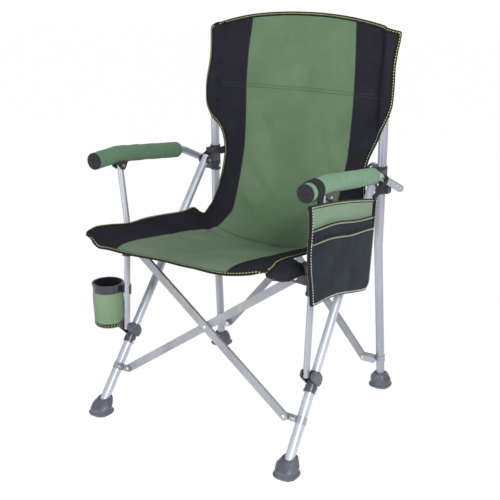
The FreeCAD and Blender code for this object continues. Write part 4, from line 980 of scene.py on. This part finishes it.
def boot(name, foot, bend, tube_r, body):
    """Rubber boot: ribbed sole rim, a groove, a block that leans with the leg, and a lobe on each side."""
    lean = (bend[0] - foot[0]) / bend[2], (bend[1] - foot[1]) / bend[2]
    centre = foot[0] + lean[0] * LEG_BOTTOM, foot[1] + lean[1] * LEG_BOTTOM
    hole = [tube_r * math.sqrt(1 + slope ** 2) + SOCKET_GAP for slope in lean]
    turn = np.linspace(0, 2 * math.pi, 72, endpoint=False)
    cos, sin = np.cos(turn), np.sin(turn)
    side_lobe = LOBE * np.clip(np.cos(turn * 2), 0, 1) ** 2.4 * (np.abs(cos) > 0.7) * np.sign(cos)
    rows = []
    for z, half_x, half_y, power, share in BOOT_LEVELS:
        square = (np.abs(cos) ** power + np.abs(sin) ** power) ** (-1 / power)
        rib = RIB * np.cos(turn * RIBS) * (RIB_FROM < z < RIB_TO)
        x = (half_x * square + rib) * cos + side_lobe * math.exp(-((z - LOBE_Z) / LOBE_HALF) ** 2)
        crest = CREST * cos ** 2 * max(0.0, (z - CREST_FROM) / 10)
        rows.append((x, (half_y * square + rib) * sin, z + crest, (z - LEG_BOTTOM) * share))
    for z, flare in SOCKET_LEVELS:
        rows.append(((hole[0] + flare) * cos, (hole[1] + flare) * sin, z + 0 * turn, z - LEG_BOTTOM))
    rows = np.array([np.stack([centre[0] + lean[0] * rise + x, centre[1] + lean[1] * rise + y, z], 1)
                     for x, y, z, rise in rows])
    piece = dress(soften(grid(name, rows, wrap=True)), RUBBER, body)
    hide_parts(name.replace("boot", "foot"))


for side in (1, -1):
    for name, foot, bend, tube_r, body in (("front_boot_", FRONT_FOOT, LEG_PIN, LOWER_LEG_R, "leg_"),
                                           ("rear_boot_", REAR_FOOT, REAR_BEND, REAR_LEG_R, "post_")):
        foot, bend = (foot[0] * side, foot[1]), (bend[0] * side, *bend[1:])
        boot(name + LABEL[side], foot, bend, tube_r, body + LABEL[side])


# -------------------------------- floor, light and camera
FLOOR_HALF, FLOOR_Z, FLOOR_GLOW = 12.0, -0.0004, 0.985


def floor():
    """Ground that the camera and reflections see as white, and that gives back light as paper does."""
    mesh = bpy.data.meshes.new("floor")
    corners = [(x * FLOOR_HALF, y * FLOOR_HALF, FLOOR_Z) for x, y in ((-1, -1), (1, -1), (1, 1), (-1, 1))]
    mesh.from_pydata(corners, [], [(0, 1, 2, 3)])
    n = Nodes("floor_white")
    n.finish(Base_Color=(0.9, 0.9, 0.9, 1.0), Roughness=0.9, Specular_IOR_Level=0.1)
    glow = n.add("ShaderNodeEmission", {"Color": (1.0, 1.0, 1.0, 1.0), "Strength": 1.0})
    path = n.add("ShaderNodeLightPath")
    seen = n.math("MAXIMUM", path.outputs["Is Camera Ray"], path.outputs["Is Glossy Ray"])
    mix = n.add("ShaderNodeMixShader", {0: n.math("MULTIPLY", seen, FLOOR_GLOW), 1: n.surface.outputs[0],
                                        2: glow.outputs[0]})
    n.tree.links.new(mix.outputs[0], n.tree.nodes["Material Output"].inputs["Surface"])
    mesh.materials.append(n.material)
    new_object("floor", mesh)


def world():
    """White behind the chair, and a dimmer, slightly blue light on it."""
    made = bpy.data.worlds.new("studio")
    bpy.context.scene.world = made
    made.use_nodes = True
    tree = made.node_tree
    shown, lit = tree.nodes["Background"], tree.nodes.new("ShaderNodeBackground")
    shown.inputs["Color"].default_value = (1, 1, 1, 1)
    shown.inputs["Strength"].default_value = 1.0
    lit.inputs["Color"].default_value = (0.93, 0.95, 1.0, 1)
    lit.inputs["Strength"].default_value = 0.4
    path = tree.nodes.new("ShaderNodeLightPath")
    seen = tree.nodes.new("ShaderNodeMath")
    seen.operation = "MAXIMUM"
    tree.links.new(path.outputs["Is Camera Ray"], seen.inputs[0])
    tree.links.new(path.outputs["Is Transmission Ray"], seen.inputs[1])
    mix = tree.nodes.new("ShaderNodeMixShader")
    tree.links.new(seen.outputs[0], mix.inputs[0])
    tree.links.new(lit.outputs[0], mix.inputs[1])
    tree.links.new(shown.outputs[0], mix.inputs[2])
    tree.links.new(mix.outputs[0], tree.nodes["World Output"].inputs["Surface"])


def aimed(name, data, where, ahead):
    """A lamp or camera at a place in metres, facing along a direction."""
    obj = new_object(name, data)
    obj.location = where
    obj.rotation_mode = "QUATERNION"
    obj.rotation_quaternion = ahead.to_track_quat("-Z", "Y")
    return obj


def lamp(name, where, size, energy):
    """A soft disk lamp that faces the chair's middle."""
    data = bpy.data.lights.new(name, "AREA")
    data.shape, data.size, data.energy = "DISK", size, energy
    aimed(name, data, where, Vector((0, 0, 0.5)) - Vector(where))


def camera(azimuth, elevation, where, lens):
    """The photograph's view, fitted to the frame."""
    data = bpy.data.cameras.new("camera")
    data.lens, data.sensor_width = lens, 36.0
    data.clip_start, data.clip_end = 0.05, 60.0
    a, e = math.radians(azimuth), math.radians(elevation)
    ahead = Vector((-math.sin(a) * math.cos(e), math.cos(a) * math.cos(e), -math.sin(e)))
    bpy.context.scene.camera = aimed("camera", data, Vector(place(where)), ahead)


floor()
world()
lamp("key", (2.2, -1.9, 1.9), 1.1, 62.0)
lamp("fill", (-1.2, -3.0, 0.4), 2.0, 36.0)
lamp("rim", (0.4, 2.6, 2.4), 1.6, 24.0)
camera(azimuth=32.52, elevation=18.0, where=(1227.0, -2191.0, 1173.0), lens=65.16)
bpy.context.scene.view_settings.view_transform = "Standard"
